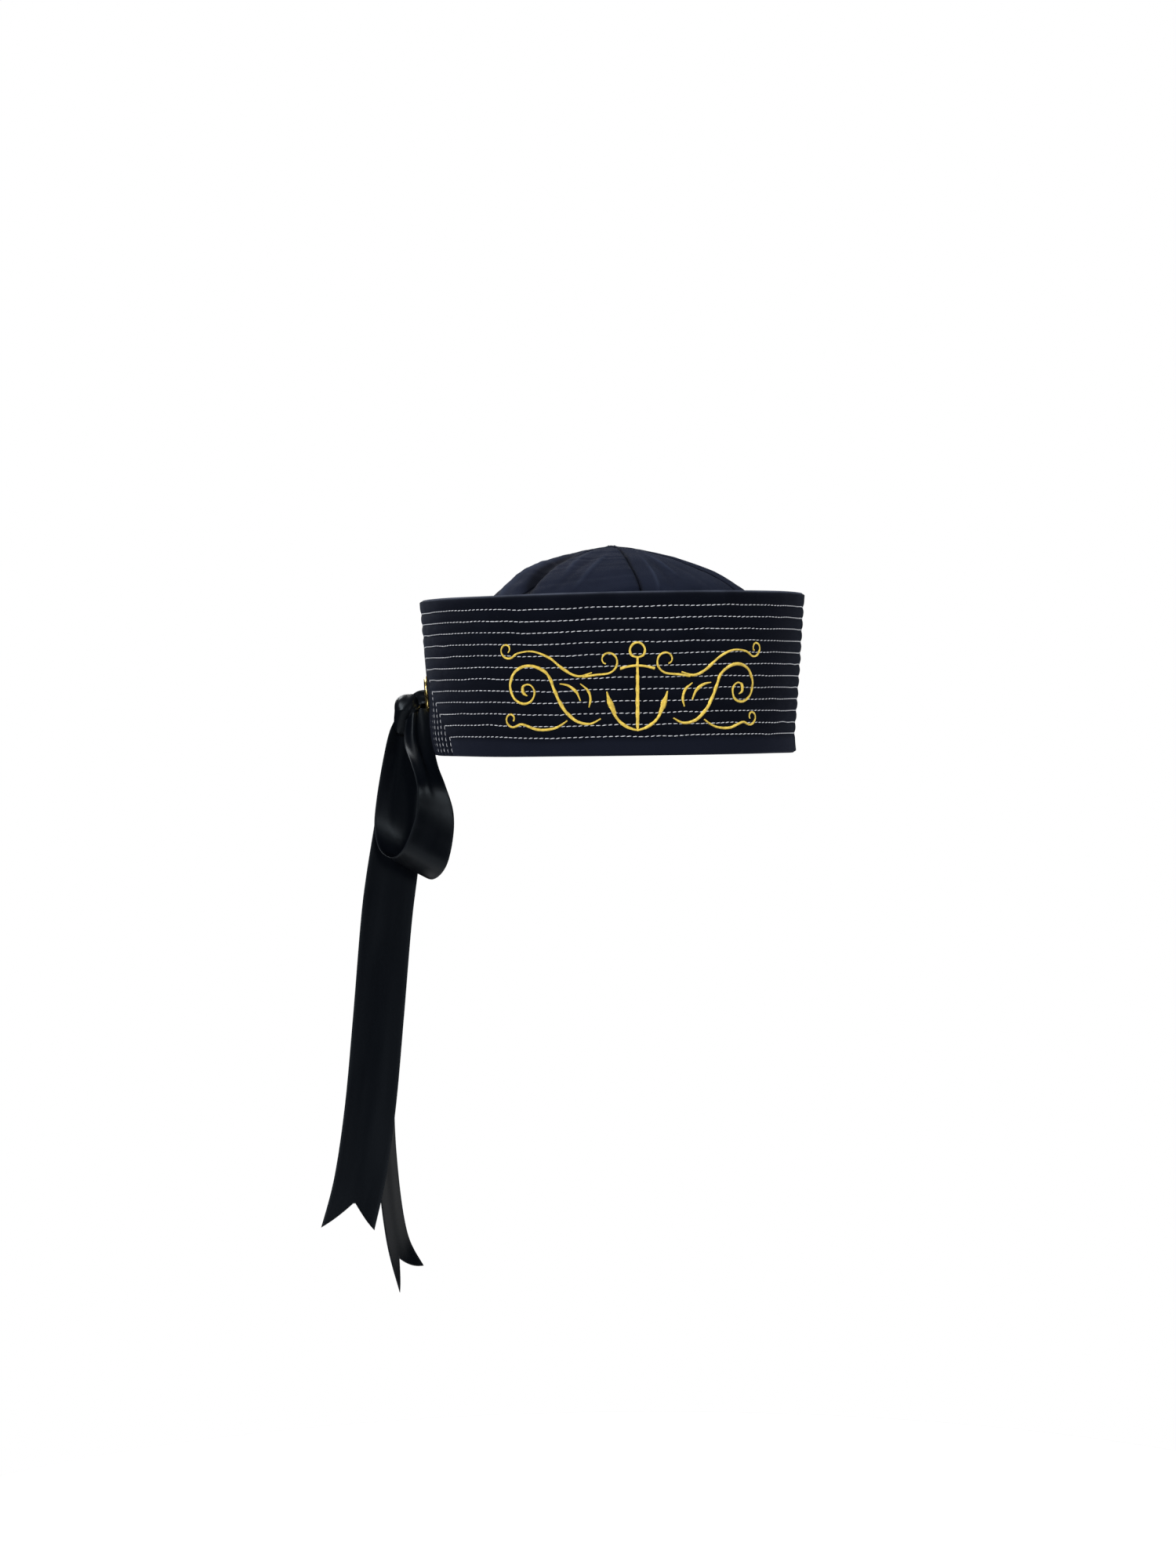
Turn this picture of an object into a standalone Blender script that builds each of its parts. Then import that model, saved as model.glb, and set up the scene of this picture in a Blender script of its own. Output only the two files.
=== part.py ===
"""Sailor cap: a six-gore crown, a turned-up stitched brim with a laced slit, and a ribbon bow.

Metres, +Z up. The origin is the middle of the head opening, level with the brim's lower edge. The
front of the cap faces -Y and the bow hangs on the -X side. A turn is an angle round the cap in
degrees, 0 at the front and positive towards +X.
"""

import math

import bmesh
import bpy
from mathutils import Matrix, Vector

MM = 0.001
GAP = 0.3 * MM
MERGE = 0.01 * MM

# The brim is one thick stitched strip. It leans out, and curls out a little more near its top.
BRIM_HALF_WIDTH = 91.4 * MM
BRIM_HALF_DEPTH = 96.8 * MM
BRIM_HEIGHT = 78.5 * MM
BRIM_TAPER = 0.8 * MM
BRIM_LEAN = 3.2 * MM
BRIM_CURL = 3.0 * MM
BRIM_THICKNESS = 3.0 * MM
BRIM_EDGE_ROUND = 1.2 * MM
BRIM_CORNER = 5.0 * MM
BRIM_CORNER_DROP = 3.0 * MM
BRIM_COLUMNS = 76
BRIM_ROWS = 4

# The strip's two ends meet at the slit, and an eyelet stands on each side of it.
SLIT_TURN = -118.0
SLIT_WIDTH = 3.0 * MM
EYELET_TURNS = {"front": -99.0, "rear": -137.0}
EYELET_HEIGHT = 31.0 * MM
EYELET_BORE = 5.2 * MM
EYELET_BARREL = 6.1 * MM
EYELET_FLANGE = 9.4 * MM
EYELET_ROLL = 0.7 * MM
EYELET_FRONT_HEIGHT = 2.1 * MM
EYELET_BACK_HEIGHT = 1.2 * MM
EYELET_SIDES = 20

# The crown is a soft dome of equal gores. It starts just inside the brim's lower edge.
CROWN_THICKNESS = 1.2 * MM
CROWN_DEPTH_RATIO = 1.06
CROWN_TURN = 0.0
GORE_COUNT = 6
GORE_COLUMNS = 11
GORE_ROWS = 12
SEAM_GAP = 0.4 * MM
SEAM_DIP = 0.9 * MM
SEAM_DIP_SPREAD = 7.0

# Dents fade at the lower edge, where the brim holds the cloth, and near the top.
DENT_FADE_HEIGHT = 40.0 * MM
DENT_FADE_REACH = 20.0 * MM

# Height, half-width and sideways shift of the crown at each level, in millimetres.
CROWN_PROFILE = (
    # height, reach, shift
    (1.0, 87.5, 0.0),
    (18.0, 86.0, 0.3),
    (36.0, 83.2, 0.8),
    (52.0, 79.0, 1.6),
    (66.0, 73.8, 2.6),
    (76.0, 68.8, 3.4),
    (83.0, 62.6, 3.6),
    (89.4, 53.2, 3.0),
    (94.3, 43.6, 2.2),
    (98.5, 32.8, 1.2),
    (101.7, 21.4, 0.0),
    (103.9, 10.0, -0.9),
    (104.6, 0.0, -1.3),
)

# Soft dents in the crown's cloth, in degrees and millimetres. A negative depth is a bulge.
CROWN_DENTS = (
    # turn, spread, height, reach, depth
    (-60.0, 9.0, 88.0, 18.0, 1.6),
    (-100.0, 24.0, 84.0, 12.0, 2.0),
    (-80.0, 14.0, 90.0, 14.0, -0.8),
    (28.0, 12.0, 92.0, 16.0, -0.9),
    (84.0, 26.0, 86.0, 14.0, -0.5),
    (150.0, 20.0, 90.0, 16.0, 1.4),
    (-160.0, 16.0, 88.0, 16.0, 1.2),
)

# The bow hangs from a knot beside the front eyelet. Its own frame starts at the knot's middle:
# across is sideways towards the cap, away is along the cap's side to the back, and up is up.
BOW_TURN = -9.0
KNOT_PLACE = (-106.0, 4.0, 23.0)
KNOT_RADII = (7.3 * MM, 7.2 * MM, 8.8 * MM)
KNOT_BOX = 2.6
KNOT_FOLD = 0.5 * MM
KNOT_FOLDS = 5
KNOT_FOLD_SLANT = 2.0
RIBBON_THICKNESS = 1.0 * MM
RIBBON_COLUMNS = 4

# The share of a table's row over which a ribbon's direction is measured.
STEP = 0.1

# One row for each section of a ribbon: its two edges, and the depth of the gathers there.
NEAR_LOOP = (
    # left (across, away, up), right (across, away, up), gather
    ((0.0, -3.0, -2.0), (7.0, -1.0, -1.0), 1.0),
    ((-0.9, -7.0, -8.8), (10.8, -3.0, -6.0), 1.3),
    ((-1.3, -14.0, -17.0), (12.6, -7.0, -15.7), 1.2),
    ((2.8, -21.0, -25.7), (15.5, -12.0, -28.0), 0.8),
    ((5.6, -26.0, -36.4), (19.1, -16.0, -37.9), 0.3),
    ((5.7, -29.0, -47.3), (22.9, -18.0, -51.8), 0.0),
    ((3.5, -27.0, -58.0), (22.4, -16.0, -65.7), 0.0),
    ((-1.8, -19.0, -70.2), (18.7, -9.0, -79.6), 0.0),
    ((-8.3, -10.0, -74.9), (11.8, -2.0, -86.3), 0.0),
    ((-14.8, -1.0, -70.7), (4.7, 5.0, -81.8), 0.0),
    ((-17.3, 3.0, -60.1), (2.2, 8.0, -70.7), 0.0),
    ((-15.9, 4.0, -46.0), (3.2, 8.0, -55.4), 0.2),
    ((-11.7, 3.0, -23.2), (5.3, 7.0, -30.3), 0.6),
    ((-8.5, 1.0, -9.9), (5.7, 3.0, -10.1), 0.9),
    ((-5.0, 0.0, -2.0), (4.0, 1.0, -1.0), 0.8),
)
FAR_LOOP = (
    ((-5.0, 5.0, -1.0), (3.0, 5.0, -1.0), 0.8),
    ((-8.0, 12.0, -8.0), (5.0, 14.0, -8.0), 1.2),
    ((-12.0, 19.0, -22.0), (8.0, 23.0, -22.0), 0.8),
    ((-15.0, 23.0, -38.0), (8.5, 28.0, -38.0), 0.3),
    ((-16.5, 26.0, -54.0), (7.5, 31.0, -56.0), 0.0),
    ((-16.5, 33.0, -66.0), (6.5, 38.0, -69.0), 0.0),
    ((-15.5, 43.0, -65.0), (7.0, 48.0, -68.0), 0.0),
    ((-14.5, 49.0, -53.0), (8.5, 54.0, -55.0), 0.0),
    ((-13.5, 47.0, -38.0), (9.0, 51.0, -39.0), 0.2),
    ((-11.0, 36.0, -20.0), (8.0, 39.0, -20.0), 0.6),
    ((-7.5, 20.0, -4.0), (5.0, 22.0, -4.0), 1.0),
    ((-4.0, 5.0, 1.5), (3.0, 5.0, 1.5), 0.8),
)
FRONT_TAIL = (
    ((-4.0, 1.0, -4.0), (4.0, 4.0, -4.0), 0.8),
    ((-9.0, 5.0, -13.0), (7.0, 9.0, -13.0), 1.0),
    ((-12.0, 7.5, -23.3), (9.5, 12.0, -23.3), 0.6),
    ((-14.5, 8.5, -38.3), (9.0, 13.0, -38.3), 0.2),
    ((-18.0, 8.5, -58.4), (7.3, 13.0, -58.4), 0.0),
    ((-22.8, 9.0, -86.3), (3.3, 13.0, -86.3), 0.0),
    ((-25.9, 10.0, -110.4), (0.2, 13.0, -110.4), 0.0),
    ((-30.4, 11.0, -158.8), (-4.3, 13.0, -158.8), 0.0),
    ((-34.9, 11.0, -203.0), (-8.7, 13.0, -203.0), 0.0),
    ((-40.5, 11.0, -239.3), (-14.0, 13.0, -239.3), 0.0),
    ((-47.3, 11.0, -264.7), (-20.3, 13.0, -266.6), 0.0),
)
BACK_TAIL = (
    ((-3.0, 4.0, -4.0), (4.0, 6.0, -4.0), 0.8),
    ((-7.0, 8.5, -13.0), (6.0, 13.0, -13.0), 1.0),
    ((-10.0, 12.0, -26.0), (7.5, 18.0, -26.0), 0.6),
    ((-13.5, 13.5, -44.0), (7.5, 20.0, -44.0), 0.2),
    ((-15.0, 14.0, -66.0), (5.0, 22.0, -66.0), 0.0),
    ((-17.5, 15.0, -100.0), (0.5, 27.0, -100.0), 0.0),
    ((-19.0, 16.0, -150.0), (-6.5, 34.0, -150.0), 0.0),
    ((-19.5, 17.5, -200.0), (-10.8, 38.5, -200.0), 0.0),
    ((-18.2, 18.0, -240.0), (-9.5, 40.5, -240.0), 0.0),
    ((-14.3, 18.0, -274.8), (-5.0, 41.0, -273.0), 0.0),
    ((-8.0, 18.0, -300.3), (3.3, 39.0, -289.8), 0.0),
)
TAIL_NOTCH = 15.0 * MM

# The lacing: turn, stand-off from the brim's outer face, height, width and thickness of the
# gathered ribbon, from the knot through one eyelet, behind the slit and back over it.
LACING = (
    # turn, out, height, width, thick
    (-101.0, 9.0, 26.0, 7.6, 2.6),
    (-99.8, 5.0, 29.0, 7.4, 2.6),
    (-99.1, 2.0, 29.9, 7.0, 2.6),
    (-99.0, -1.2, 29.9, 7.0, 2.4),
    (-99.5, -3.8, 30.2, 7.0, 2.0),
    (-101.2, -5.9, 30.5, 8.0, 1.6),
    (-104.5, -6.5, 30.5, 10.5, 1.4),
    (-111.0, -6.5, 31.0, 13.0, 1.4),
    (-118.0, -6.5, 31.0, 14.0, 1.4),
    (-125.0, -6.5, 31.0, 13.0, 1.4),
    (-131.5, -6.5, 30.5, 10.5, 1.4),
    (-134.8, -5.9, 30.5, 8.0, 1.6),
    (-136.5, -3.8, 30.2, 7.0, 2.0),
    (-137.0, -1.2, 29.9, 7.0, 2.4),
    (-136.6, 2.2, 29.9, 7.0, 2.6),
    (-134.6, 4.6, 29.8, 8.4, 2.4),
    (-129.0, 4.8, 29.6, 9.6, 2.2),
    (-120.0, 4.2, 29.0, 10.0, 2.2),
    (-111.0, 5.2, 28.0, 9.2, 2.4),
    (-104.5, 9.0, 26.5, 8.0, 2.6),
)
LACING_SIDES = 8
LACING_STEPS = 3

NAVY_TWILL = (0.0165, 0.021, 0.036, 1.0)
BRIM_NAVY = (0.0085, 0.0105, 0.016, 1.0)
BLACK_SATIN = (0.005, 0.0065, 0.008, 1.0)
BRASS = (0.78, 0.55, 0.18, 1.0)


def clear_scene():
    for obj in list(bpy.data.objects):
        bpy.data.objects.remove(obj)


def new_collection(name):
    collection = bpy.data.collections.new(name)
    bpy.context.scene.collection.children.link(collection)
    return collection


def finish(name, color, roughness, metallic=0.0):
    material = bpy.data.materials.new(name)
    material.use_nodes = True
    shader = material.node_tree.nodes["Principled BSDF"]
    shader.inputs["Base Color"].default_value = color
    shader.inputs["Roughness"].default_value = roughness
    shader.inputs["Metallic"].default_value = metallic
    return material


def add_object(name, mesh, collection, material=None):
    obj = bpy.data.objects.new(name, mesh)
    collection.objects.link(obj)
    if material:
        mesh.materials.append(material)
    mesh.shade_smooth()
    return obj


def make_helper(obj):
    obj.hide_render = True
    obj.display_type = "WIRE"


def along_rows(rows, place):
    """Values of a table at a place between its rows, on a smooth curve through all of them."""
    last = len(rows) - 1
    index = min(int(place), last - 1)
    share = place - index
    before = rows[max(index - 1, 0)]
    start = rows[index]
    end = rows[index + 1]
    after = rows[min(index + 2, last)]
    return [
        0.5
        * (
            2 * b
            + (c - a) * share
            + (2 * a - 5 * b + 4 * c - d) * share**2
            + (3 * b - a - 3 * c + d) * share**3
        )
        for a, b, c, d in zip(before, start, end, after)
    ]


def bump(distance):
    """A smooth hump, 1 in the middle and 0 from a distance of 1 on."""
    return 0.5 + 0.5 * math.cos(math.pi * min(abs(distance), 1.0))


def turn_between(turn, other):
    """The signed angle from one turn to another, the short way round."""
    return (turn - other + 180.0) % 360.0 - 180.0


def sheet_mesh(name, columns, rows, place):
    """A grid whose points go where place(u, v) says. Its face looks along u cross v."""
    grid = bmesh.new()
    bmesh.ops.create_grid(grid, x_segments=columns, y_segments=rows, size=0.5)
    for vertex in grid.verts:
        vertex.co = place(vertex.co.x + 0.5, vertex.co.y + 0.5)
    bmesh.ops.remove_doubles(grid, verts=grid.verts, dist=MERGE)
    mesh = bpy.data.meshes.new(name)
    grid.to_mesh(mesh)
    grid.free()
    return mesh


def thicken(obj, thickness, offset):
    wall = obj.modifiers.new("wall", "SOLIDIFY")
    wall.thickness = thickness
    wall.offset = offset
    wall.use_even_offset = True


def cut_away(obj, cutter):
    cut = obj.modifiers.new("cut " + cutter.name, "BOOLEAN")
    cut.operation = "DIFFERENCE"
    cut.object = cutter


# Brim


def brim_height(turn):
    return BRIM_HEIGHT + BRIM_TAPER * math.sin(math.radians(turn))


def brim_point(turn, height, out=0.0):
    """A point on the brim's outer face, or out from it."""
    angle = math.radians(turn)
    share = height / BRIM_HEIGHT
    flare = BRIM_LEAN * share + BRIM_CURL * share * abs(share) + out
    across = (BRIM_HALF_WIDTH + flare) * math.sin(angle)
    ahead = -(BRIM_HALF_DEPTH + flare) * math.cos(angle)
    return Vector((across, ahead, height))


def brim_frame(turn, height):
    """The place on the brim's outer face, with +Z out of the cloth and +Y up along it."""
    place = brim_point(turn, height)
    along = (brim_point(turn + 0.5, height) - brim_point(turn - 0.5, height)).normalized()
    upward = (brim_point(turn, height + MM) - brim_point(turn, height - MM)).normalized()
    outward = along.cross(upward).normalized()
    upward = outward.cross(along)
    frame = Matrix((along, upward, outward)).transposed().to_4x4()
    frame.translation = place
    return frame


def brim_degrees(length):
    """The turn that a length along the brim's lower edge spans."""
    return math.degrees(length / (0.5 * (BRIM_HALF_WIDTH + BRIM_HALF_DEPTH)))


def make_brim(collection, material, hole_cutters):
    start = SLIT_TURN + brim_degrees(SLIT_WIDTH) / 2
    span = 360.0 - brim_degrees(SLIT_WIDTH)
    corner = brim_degrees(BRIM_CORNER)

    def place(u, v):
        turn = start + span * u
        into_corner = max(corner - span * min(u, 1 - u), 0.0) / corner
        drop = BRIM_CORNER_DROP * (1 - math.sqrt(1 - into_corner**2))
        return brim_point(turn, (brim_height(turn) - drop) * v)

    mesh = sheet_mesh("brim", BRIM_COLUMNS, BRIM_ROWS, place)
    brim = add_object("brim", mesh, collection, material)
    thicken(brim, BRIM_THICKNESS, -1.0)
    edges = brim.modifiers.new("rounded edges", "BEVEL")
    edges.width = BRIM_EDGE_ROUND
    edges.segments = 2
    edges.limit_method = "ANGLE"
    edges.angle_limit = math.radians(60.0)
    for cutter in hole_cutters:
        cut_away(brim, cutter)


# Eyelets


def eyelet_profile():
    """Half of the eyelet's section, as distance from its axis and height over the cloth's face."""
    sag = EYELET_FLANGE**2 / (2 * BRIM_HALF_WIDTH)
    back = -BRIM_THICKNESS - GAP - sag
    roll = EYELET_ROLL
    front = EYELET_FRONT_HEIGHT
    lowest = back - EYELET_BACK_HEIGHT
    return (
        (EYELET_BORE + roll, 0.9 * front),
        (EYELET_FLANGE - 2.6 * roll, front),
        (EYELET_FLANGE - roll, 0.85 * front),
        (EYELET_FLANGE, 0.45 * front),
        (EYELET_FLANGE - roll, GAP),
        (EYELET_BARREL, GAP),
        (EYELET_BARREL, back),
        (EYELET_FLANGE - 2 * roll, back),
        (EYELET_FLANGE - roll, (back + lowest) / 2),
        (EYELET_FLANGE - 2 * roll, lowest),
        (EYELET_BARREL, lowest),
        (EYELET_BORE, lowest + roll),
        (EYELET_BORE, front - 1.3 * roll),
    )


def make_eyelet(side, collection, material):
    """A turned ring with a flange on each face of the cloth."""
    profile = eyelet_profile()
    ring = bmesh.new()
    corners = [ring.verts.new((reach, 0.0, height)) for reach, height in profile]
    for corner, following in zip(corners, corners[1:] + corners[:1]):
        ring.edges.new((corner, following))
    mesh = bpy.data.meshes.new("eyelet_" + side)
    ring.to_mesh(mesh)
    ring.free()
    eyelet = add_object("eyelet_" + side, mesh, collection, material)
    eyelet.matrix_world = brim_frame(EYELET_TURNS[side], EYELET_HEIGHT)
    turned = eyelet.modifiers.new("turned", "SCREW")
    turned.axis = "Z"
    turned.steps = EYELET_SIDES
    turned.render_steps = EYELET_SIDES
    turned.use_merge_vertices = True
    turned.merge_threshold = MERGE


def make_eyelet_cutter(side, collection):
    bpy.ops.mesh.primitive_cylinder_add(
        vertices=EYELET_SIDES, radius=EYELET_BARREL + GAP, depth=6 * BRIM_THICKNESS
    )
    cutter = bpy.context.active_object
    cutter.name = "eyelet_hole_" + side
    cutter.matrix_world = brim_frame(EYELET_TURNS[side], EYELET_HEIGHT)
    for home in list(cutter.users_collection):
        home.objects.unlink(cutter)
    collection.objects.link(cutter)
    make_helper(cutter)
    return cutter


# Crown


def crown_dent(turn, height):
    """How far the crown's cloth lies inside its smooth dome, in metres."""
    seam_turn = turn_between(turn, CROWN_TURN) % (360.0 / GORE_COUNT)
    from_seam = min(seam_turn, 360.0 / GORE_COUNT - seam_turn)
    dent = SEAM_DIP * bump(from_seam / SEAM_DIP_SPREAD)
    for dent_turn, spread, middle, reach, depth in CROWN_DENTS:
        across = bump(turn_between(turn, dent_turn) / spread)
        dent += depth * MM * across * bump((height / MM - middle) / reach)
    return dent


def crown_point(turn, place):
    """A point on the crown's outer face. place runs over the rows of its profile."""
    height, reach, shift = along_rows(CROWN_PROFILE, place)
    angle = math.radians(turn)
    height *= MM
    reach *= MM
    fade = bump(1 - min(height / DENT_FADE_HEIGHT, 1.0)) * min(reach / DENT_FADE_REACH, 1.0)
    reach -= crown_dent(turn, height) * fade
    across = reach * math.sin(angle) + shift * MM
    ahead = -reach * CROWN_DEPTH_RATIO * math.cos(angle)
    return Vector((across, ahead, height))


def make_gore(number, collection, material):
    width = 360.0 / GORE_COUNT
    start = CROWN_TURN + width * number
    middle = math.radians(start + width / 2)
    # Moving the whole gore out by this much opens half a seam gap along each of its sides.
    shift = SEAM_GAP / 2 / math.sin(math.radians(width / 2))
    outward = Vector((math.sin(middle), -math.cos(middle), 0.0)) * shift

    def place(u, v):
        return crown_point(start + width * u, v * (len(CROWN_PROFILE) - 1)) + outward

    name = f"crown_gore_{number + 1}"
    gore = add_object(name, sheet_mesh(name, GORE_COLUMNS, GORE_ROWS, place), collection, material)
    thicken(gore, CROWN_THICKNESS, -1.0)


# Ribbon bow


def bow_point(across, away, up):
    """A point given from the knot's middle in millimetres, in the cap's frame."""
    turn = math.radians(BOW_TURN)
    across += KNOT_PLACE[0]
    away += KNOT_PLACE[1]
    x = across * math.cos(turn) - away * math.sin(turn)
    y = across * math.sin(turn) + away * math.cos(turn)
    return Vector((x, y, up + KNOT_PLACE[2])) * MM


def ribbon_edges(rows, place):
    """The left and the right edge of a ribbon's section, in the bow's frame."""
    left = Vector(along_rows([row[0] for row in rows], place))
    right = Vector(along_rows([row[1] for row in rows], place))
    return left, right


def ribbon_point(rows, place, share):
    """A point on a ribbon, between its left edge at share 0 and its right edge at share 1."""
    left, right = ribbon_edges(rows, place)
    before = sum(ribbon_edges(rows, max(place - STEP, 0.0)), Vector())
    after = sum(ribbon_edges(rows, min(place + STEP, len(rows) - 1.0)), Vector())
    facing = (right - left).cross(after - before).normalized()
    (gather,) = along_rows([row[2:] for row in rows], place)
    # The gathers fold the section into a W whose ends stay on the ribbon's edges.
    fold = gather * math.sin(3 * math.pi * share) * math.sin(math.pi * share)
    return bow_point(*(left.lerp(right, share) + facing * fold))


def make_ribbon(name, rows, steps, notch, knot_space, collection, material):
    """A ribbon through its table's sections. A notch cuts a swallow-tail into its far end."""
    last = len(rows) - 1
    end_length = (Vector(rows[-1][0]) - Vector(rows[-2][0])).length * MM
    notch_places = notch / end_length

    def place(u, v):
        reach = last - notch_places * (1 - abs(2 * v - 1))
        return ribbon_point(rows, u * reach, v)

    mesh = sheet_mesh(name, steps, RIBBON_COLUMNS, place)
    ribbon = add_object(name, mesh, collection, material)
    thicken(ribbon, RIBBON_THICKNESS, 0.0)
    cut_away(ribbon, knot_space)


def knot_mesh(name, clearance):
    """A boxy ball with slanting folds, larger all round by the clearance."""
    ball = bmesh.new()
    bmesh.ops.create_uvsphere(ball, u_segments=20, v_segments=12, radius=1.0)
    for vertex in ball.verts:
        x, y, z = vertex.co
        size = (abs(x) ** KNOT_BOX + abs(y) ** KNOT_BOX + abs(z) ** KNOT_BOX) ** (1 / KNOT_BOX)
        around = math.atan2(x, z)
        fold = KNOT_FOLD * math.sin(KNOT_FOLDS * around + KNOT_FOLD_SLANT * y) * (1 - y**2)
        reach = [radius + clearance + fold for radius in KNOT_RADII]
        vertex.co = [side * length / size for side, length in zip((x, y, z), reach)]
    mesh = bpy.data.meshes.new(name)
    ball.to_mesh(mesh)
    ball.free()
    return mesh


def place_knot(obj):
    obj.location = bow_point(0.0, 0.0, 0.0)
    obj.rotation_euler.z = math.radians(BOW_TURN)


def lacing_section(place):
    """The points round one section of the gathered ribbon."""
    turn, out, height, width, thick = along_rows(LACING, place)
    middle = brim_point(turn, height * MM, out * MM)
    ends = []
    for side in (max(place - STEP, 0.0), min(place + STEP, len(LACING) - 1.0)):
        row = along_rows(LACING, side)
        ends.append(brim_point(row[0], row[2] * MM, row[1] * MM))
    ahead = (ends[1] - ends[0]).normalized()
    sideways = ahead.cross(Vector((0.0, 0.0, 1.0))).normalized()
    upward = sideways.cross(ahead)
    points = []
    for side in range(LACING_SIDES):
        angle = 2 * math.pi * side / LACING_SIDES
        across = sideways * (0.5 * thick * MM * math.cos(angle))
        points.append(middle + across + upward * (0.5 * width * MM * math.sin(angle)))
    return points


def make_lacing(knot_space, collection, material):
    """The gathered ribbon through both eyelets, as a loft through unlike oval sections."""
    body = bmesh.new()
    count = LACING_STEPS * (len(LACING) - 1) + 1
    rings = [
        [body.verts.new(point) for point in lacing_section(index / LACING_STEPS)]
        for index in range(count)
    ]
    for ring, following in zip(rings, rings[1:]):
        for side in range(LACING_SIDES):
            beside = (side + 1) % LACING_SIDES
            body.faces.new((ring[side], ring[beside], following[beside], following[side]))
    body.faces.new(rings[0])
    body.faces.new(rings[-1])
    bmesh.ops.recalc_face_normals(body, faces=body.faces)
    mesh = bpy.data.meshes.new("ribbon_lacing")
    body.to_mesh(mesh)
    body.free()
    lacing = add_object("ribbon_lacing", mesh, collection, material)
    cut_away(lacing, knot_space)


def make_bow(collection, cutters, satin):
    knot = add_object("ribbon_knot", knot_mesh("ribbon_knot", 0.0), collection, satin)
    knot_space = add_object("knot_space", knot_mesh("knot_space", GAP), cutters)
    make_helper(knot_space)
    place_knot(knot)
    place_knot(knot_space)
    for name, rows, steps_per_row, notch in (
        ("ribbon_loop_near", NEAR_LOOP, 3.0, 0.0),
        ("ribbon_loop_far", FAR_LOOP, 3.0, 0.0),
        ("ribbon_tail_front", FRONT_TAIL, 2.4, TAIL_NOTCH),
        ("ribbon_tail_back", BACK_TAIL, 2.6, TAIL_NOTCH),
    ):
        steps = round(steps_per_row * (len(rows) - 1))
        make_ribbon(name, rows, steps, notch, knot_space, collection, satin)
    make_lacing(knot_space, collection, satin)


def main():
    clear_scene()
    cap = new_collection("sailor_cap")
    cutters = new_collection("cutters")
    crown_cloth = finish("navy_twill", NAVY_TWILL, 0.85)
    brim_cloth = finish("brim_navy_twill", BRIM_NAVY, 0.85)
    satin = finish("black_satin", BLACK_SATIN, 0.35)
    brass = finish("brass", BRASS, 0.25, 1.0)
    for number in range(GORE_COUNT):
        make_gore(number, cap, crown_cloth)
    holes = [make_eyelet_cutter(side, cutters) for side in EYELET_TURNS]
    make_brim(cap, brim_cloth, holes)
    for side in EYELET_TURNS:
        make_eyelet(side, cap, brass)
    make_bow(cap, cutters, satin)


main()
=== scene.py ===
"""Looks of a sailor cap: a quilted brim, a gored crown, laced eyelets, a satin bow, gold embroidery.

Metres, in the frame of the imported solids: +Z up, the front of the cap faces -Y and the bow hangs on
the -X side. A turn is an angle round the cap in degrees, 0 at the front and positive towards +X.
Tables of shapes are in millimetres and degrees.
"""

import math

import bpy
import numpy as np
from mathutils import Matrix, Vector


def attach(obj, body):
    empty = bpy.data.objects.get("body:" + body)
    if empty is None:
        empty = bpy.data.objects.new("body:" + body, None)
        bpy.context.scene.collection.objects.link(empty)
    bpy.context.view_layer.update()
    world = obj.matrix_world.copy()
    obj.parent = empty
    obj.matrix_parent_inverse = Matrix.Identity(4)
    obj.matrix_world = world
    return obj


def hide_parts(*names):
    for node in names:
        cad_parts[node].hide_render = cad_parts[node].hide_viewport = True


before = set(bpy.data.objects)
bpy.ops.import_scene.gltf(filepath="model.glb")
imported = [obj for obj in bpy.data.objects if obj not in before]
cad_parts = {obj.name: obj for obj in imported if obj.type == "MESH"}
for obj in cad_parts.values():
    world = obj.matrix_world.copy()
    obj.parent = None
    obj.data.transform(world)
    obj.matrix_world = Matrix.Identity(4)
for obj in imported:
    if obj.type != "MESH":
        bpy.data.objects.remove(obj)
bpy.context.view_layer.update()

MM = 0.001
SIDE_BULGE = 0.8  # a wall of cloth bulges at its sides by this share of half its thickness
SAMPLES_PER_ROW = 40  # at which a table's curve is measured

# The brim: one thick strip, as in the solid, that leans, curls and swells outwards.
BRIM_HALF_WIDTH = 91.4 * MM
BRIM_HALF_DEPTH = 96.8 * MM
BRIM_HEIGHT = 79.1 * MM
BRIM_TAPER = 1.0 * MM
BRIM_LEAN = 3.2 * MM
BRIM_CURL = 3.0 * MM
BRIM_SWELL = 1.05 * MM  # how far the quilted wall swells half-way up
SWELL_AT_EDGES = 0.3  # and the share of it that is left at its top and its lower edge
KNOT_SWELL = 0.5 * MM  # how far it stands out, low down, beside the knot
KNOT_SWELL_SPREAD = 22.0
KNOT_SWELL_HEIGHT = 14.0 * MM
KNOT_TURN = -99.0
LEAN = 1.1 * MM  # how far the worn cap leans towards the bow
LEAN_HEIGHT = 12.0 * MM  # from this height up, it leans in full
BRIM_THICKNESS = 2.9 * MM
RIM_RADIUS = 0.7 * MM
RIM_STEPS = (0.04, 0.25, 0.6, 1.1)  # how far in from the edge the points of the round rim lie
END_STEPS = RIM_STEPS + (1.5,)  # and in from the strip's ends
END_COLUMNS_START = 2.2 * MM  # from here on, the columns beside the ends are even
LOWER_ROWS = 6  # rows of points in the plain band below the stitching
LOWER_MARGIN = 1.9 * MM  # and how far above the lower edge the last of them lies
RIM_WAVE = 0.2 * MM  # how far the top and the lower edge stray from level
RIM_WAVE_LENGTH = 40.0 * MM
WEAR_HIGHLIGHT_REACH = 0.35 * MM  # how far in from the edge its cloth is pale with wear and a painted highlight
WEAR_HIGHLIGHT_AT_ENDS = 0.6  # the strip's ends get this share of the top's wear and painted highlight
PLAIN_FADE = 0.5  # the plain band below the last row sets in over this share of a row
BRIM_CORNER = 5.0 * MM
BRIM_CORNER_DROP = 3.0 * MM
BRIM_ARC = 1.684 * MM  # length of one degree round the middle of the brim
BRIM_STEP = 1.9 * MM
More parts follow.
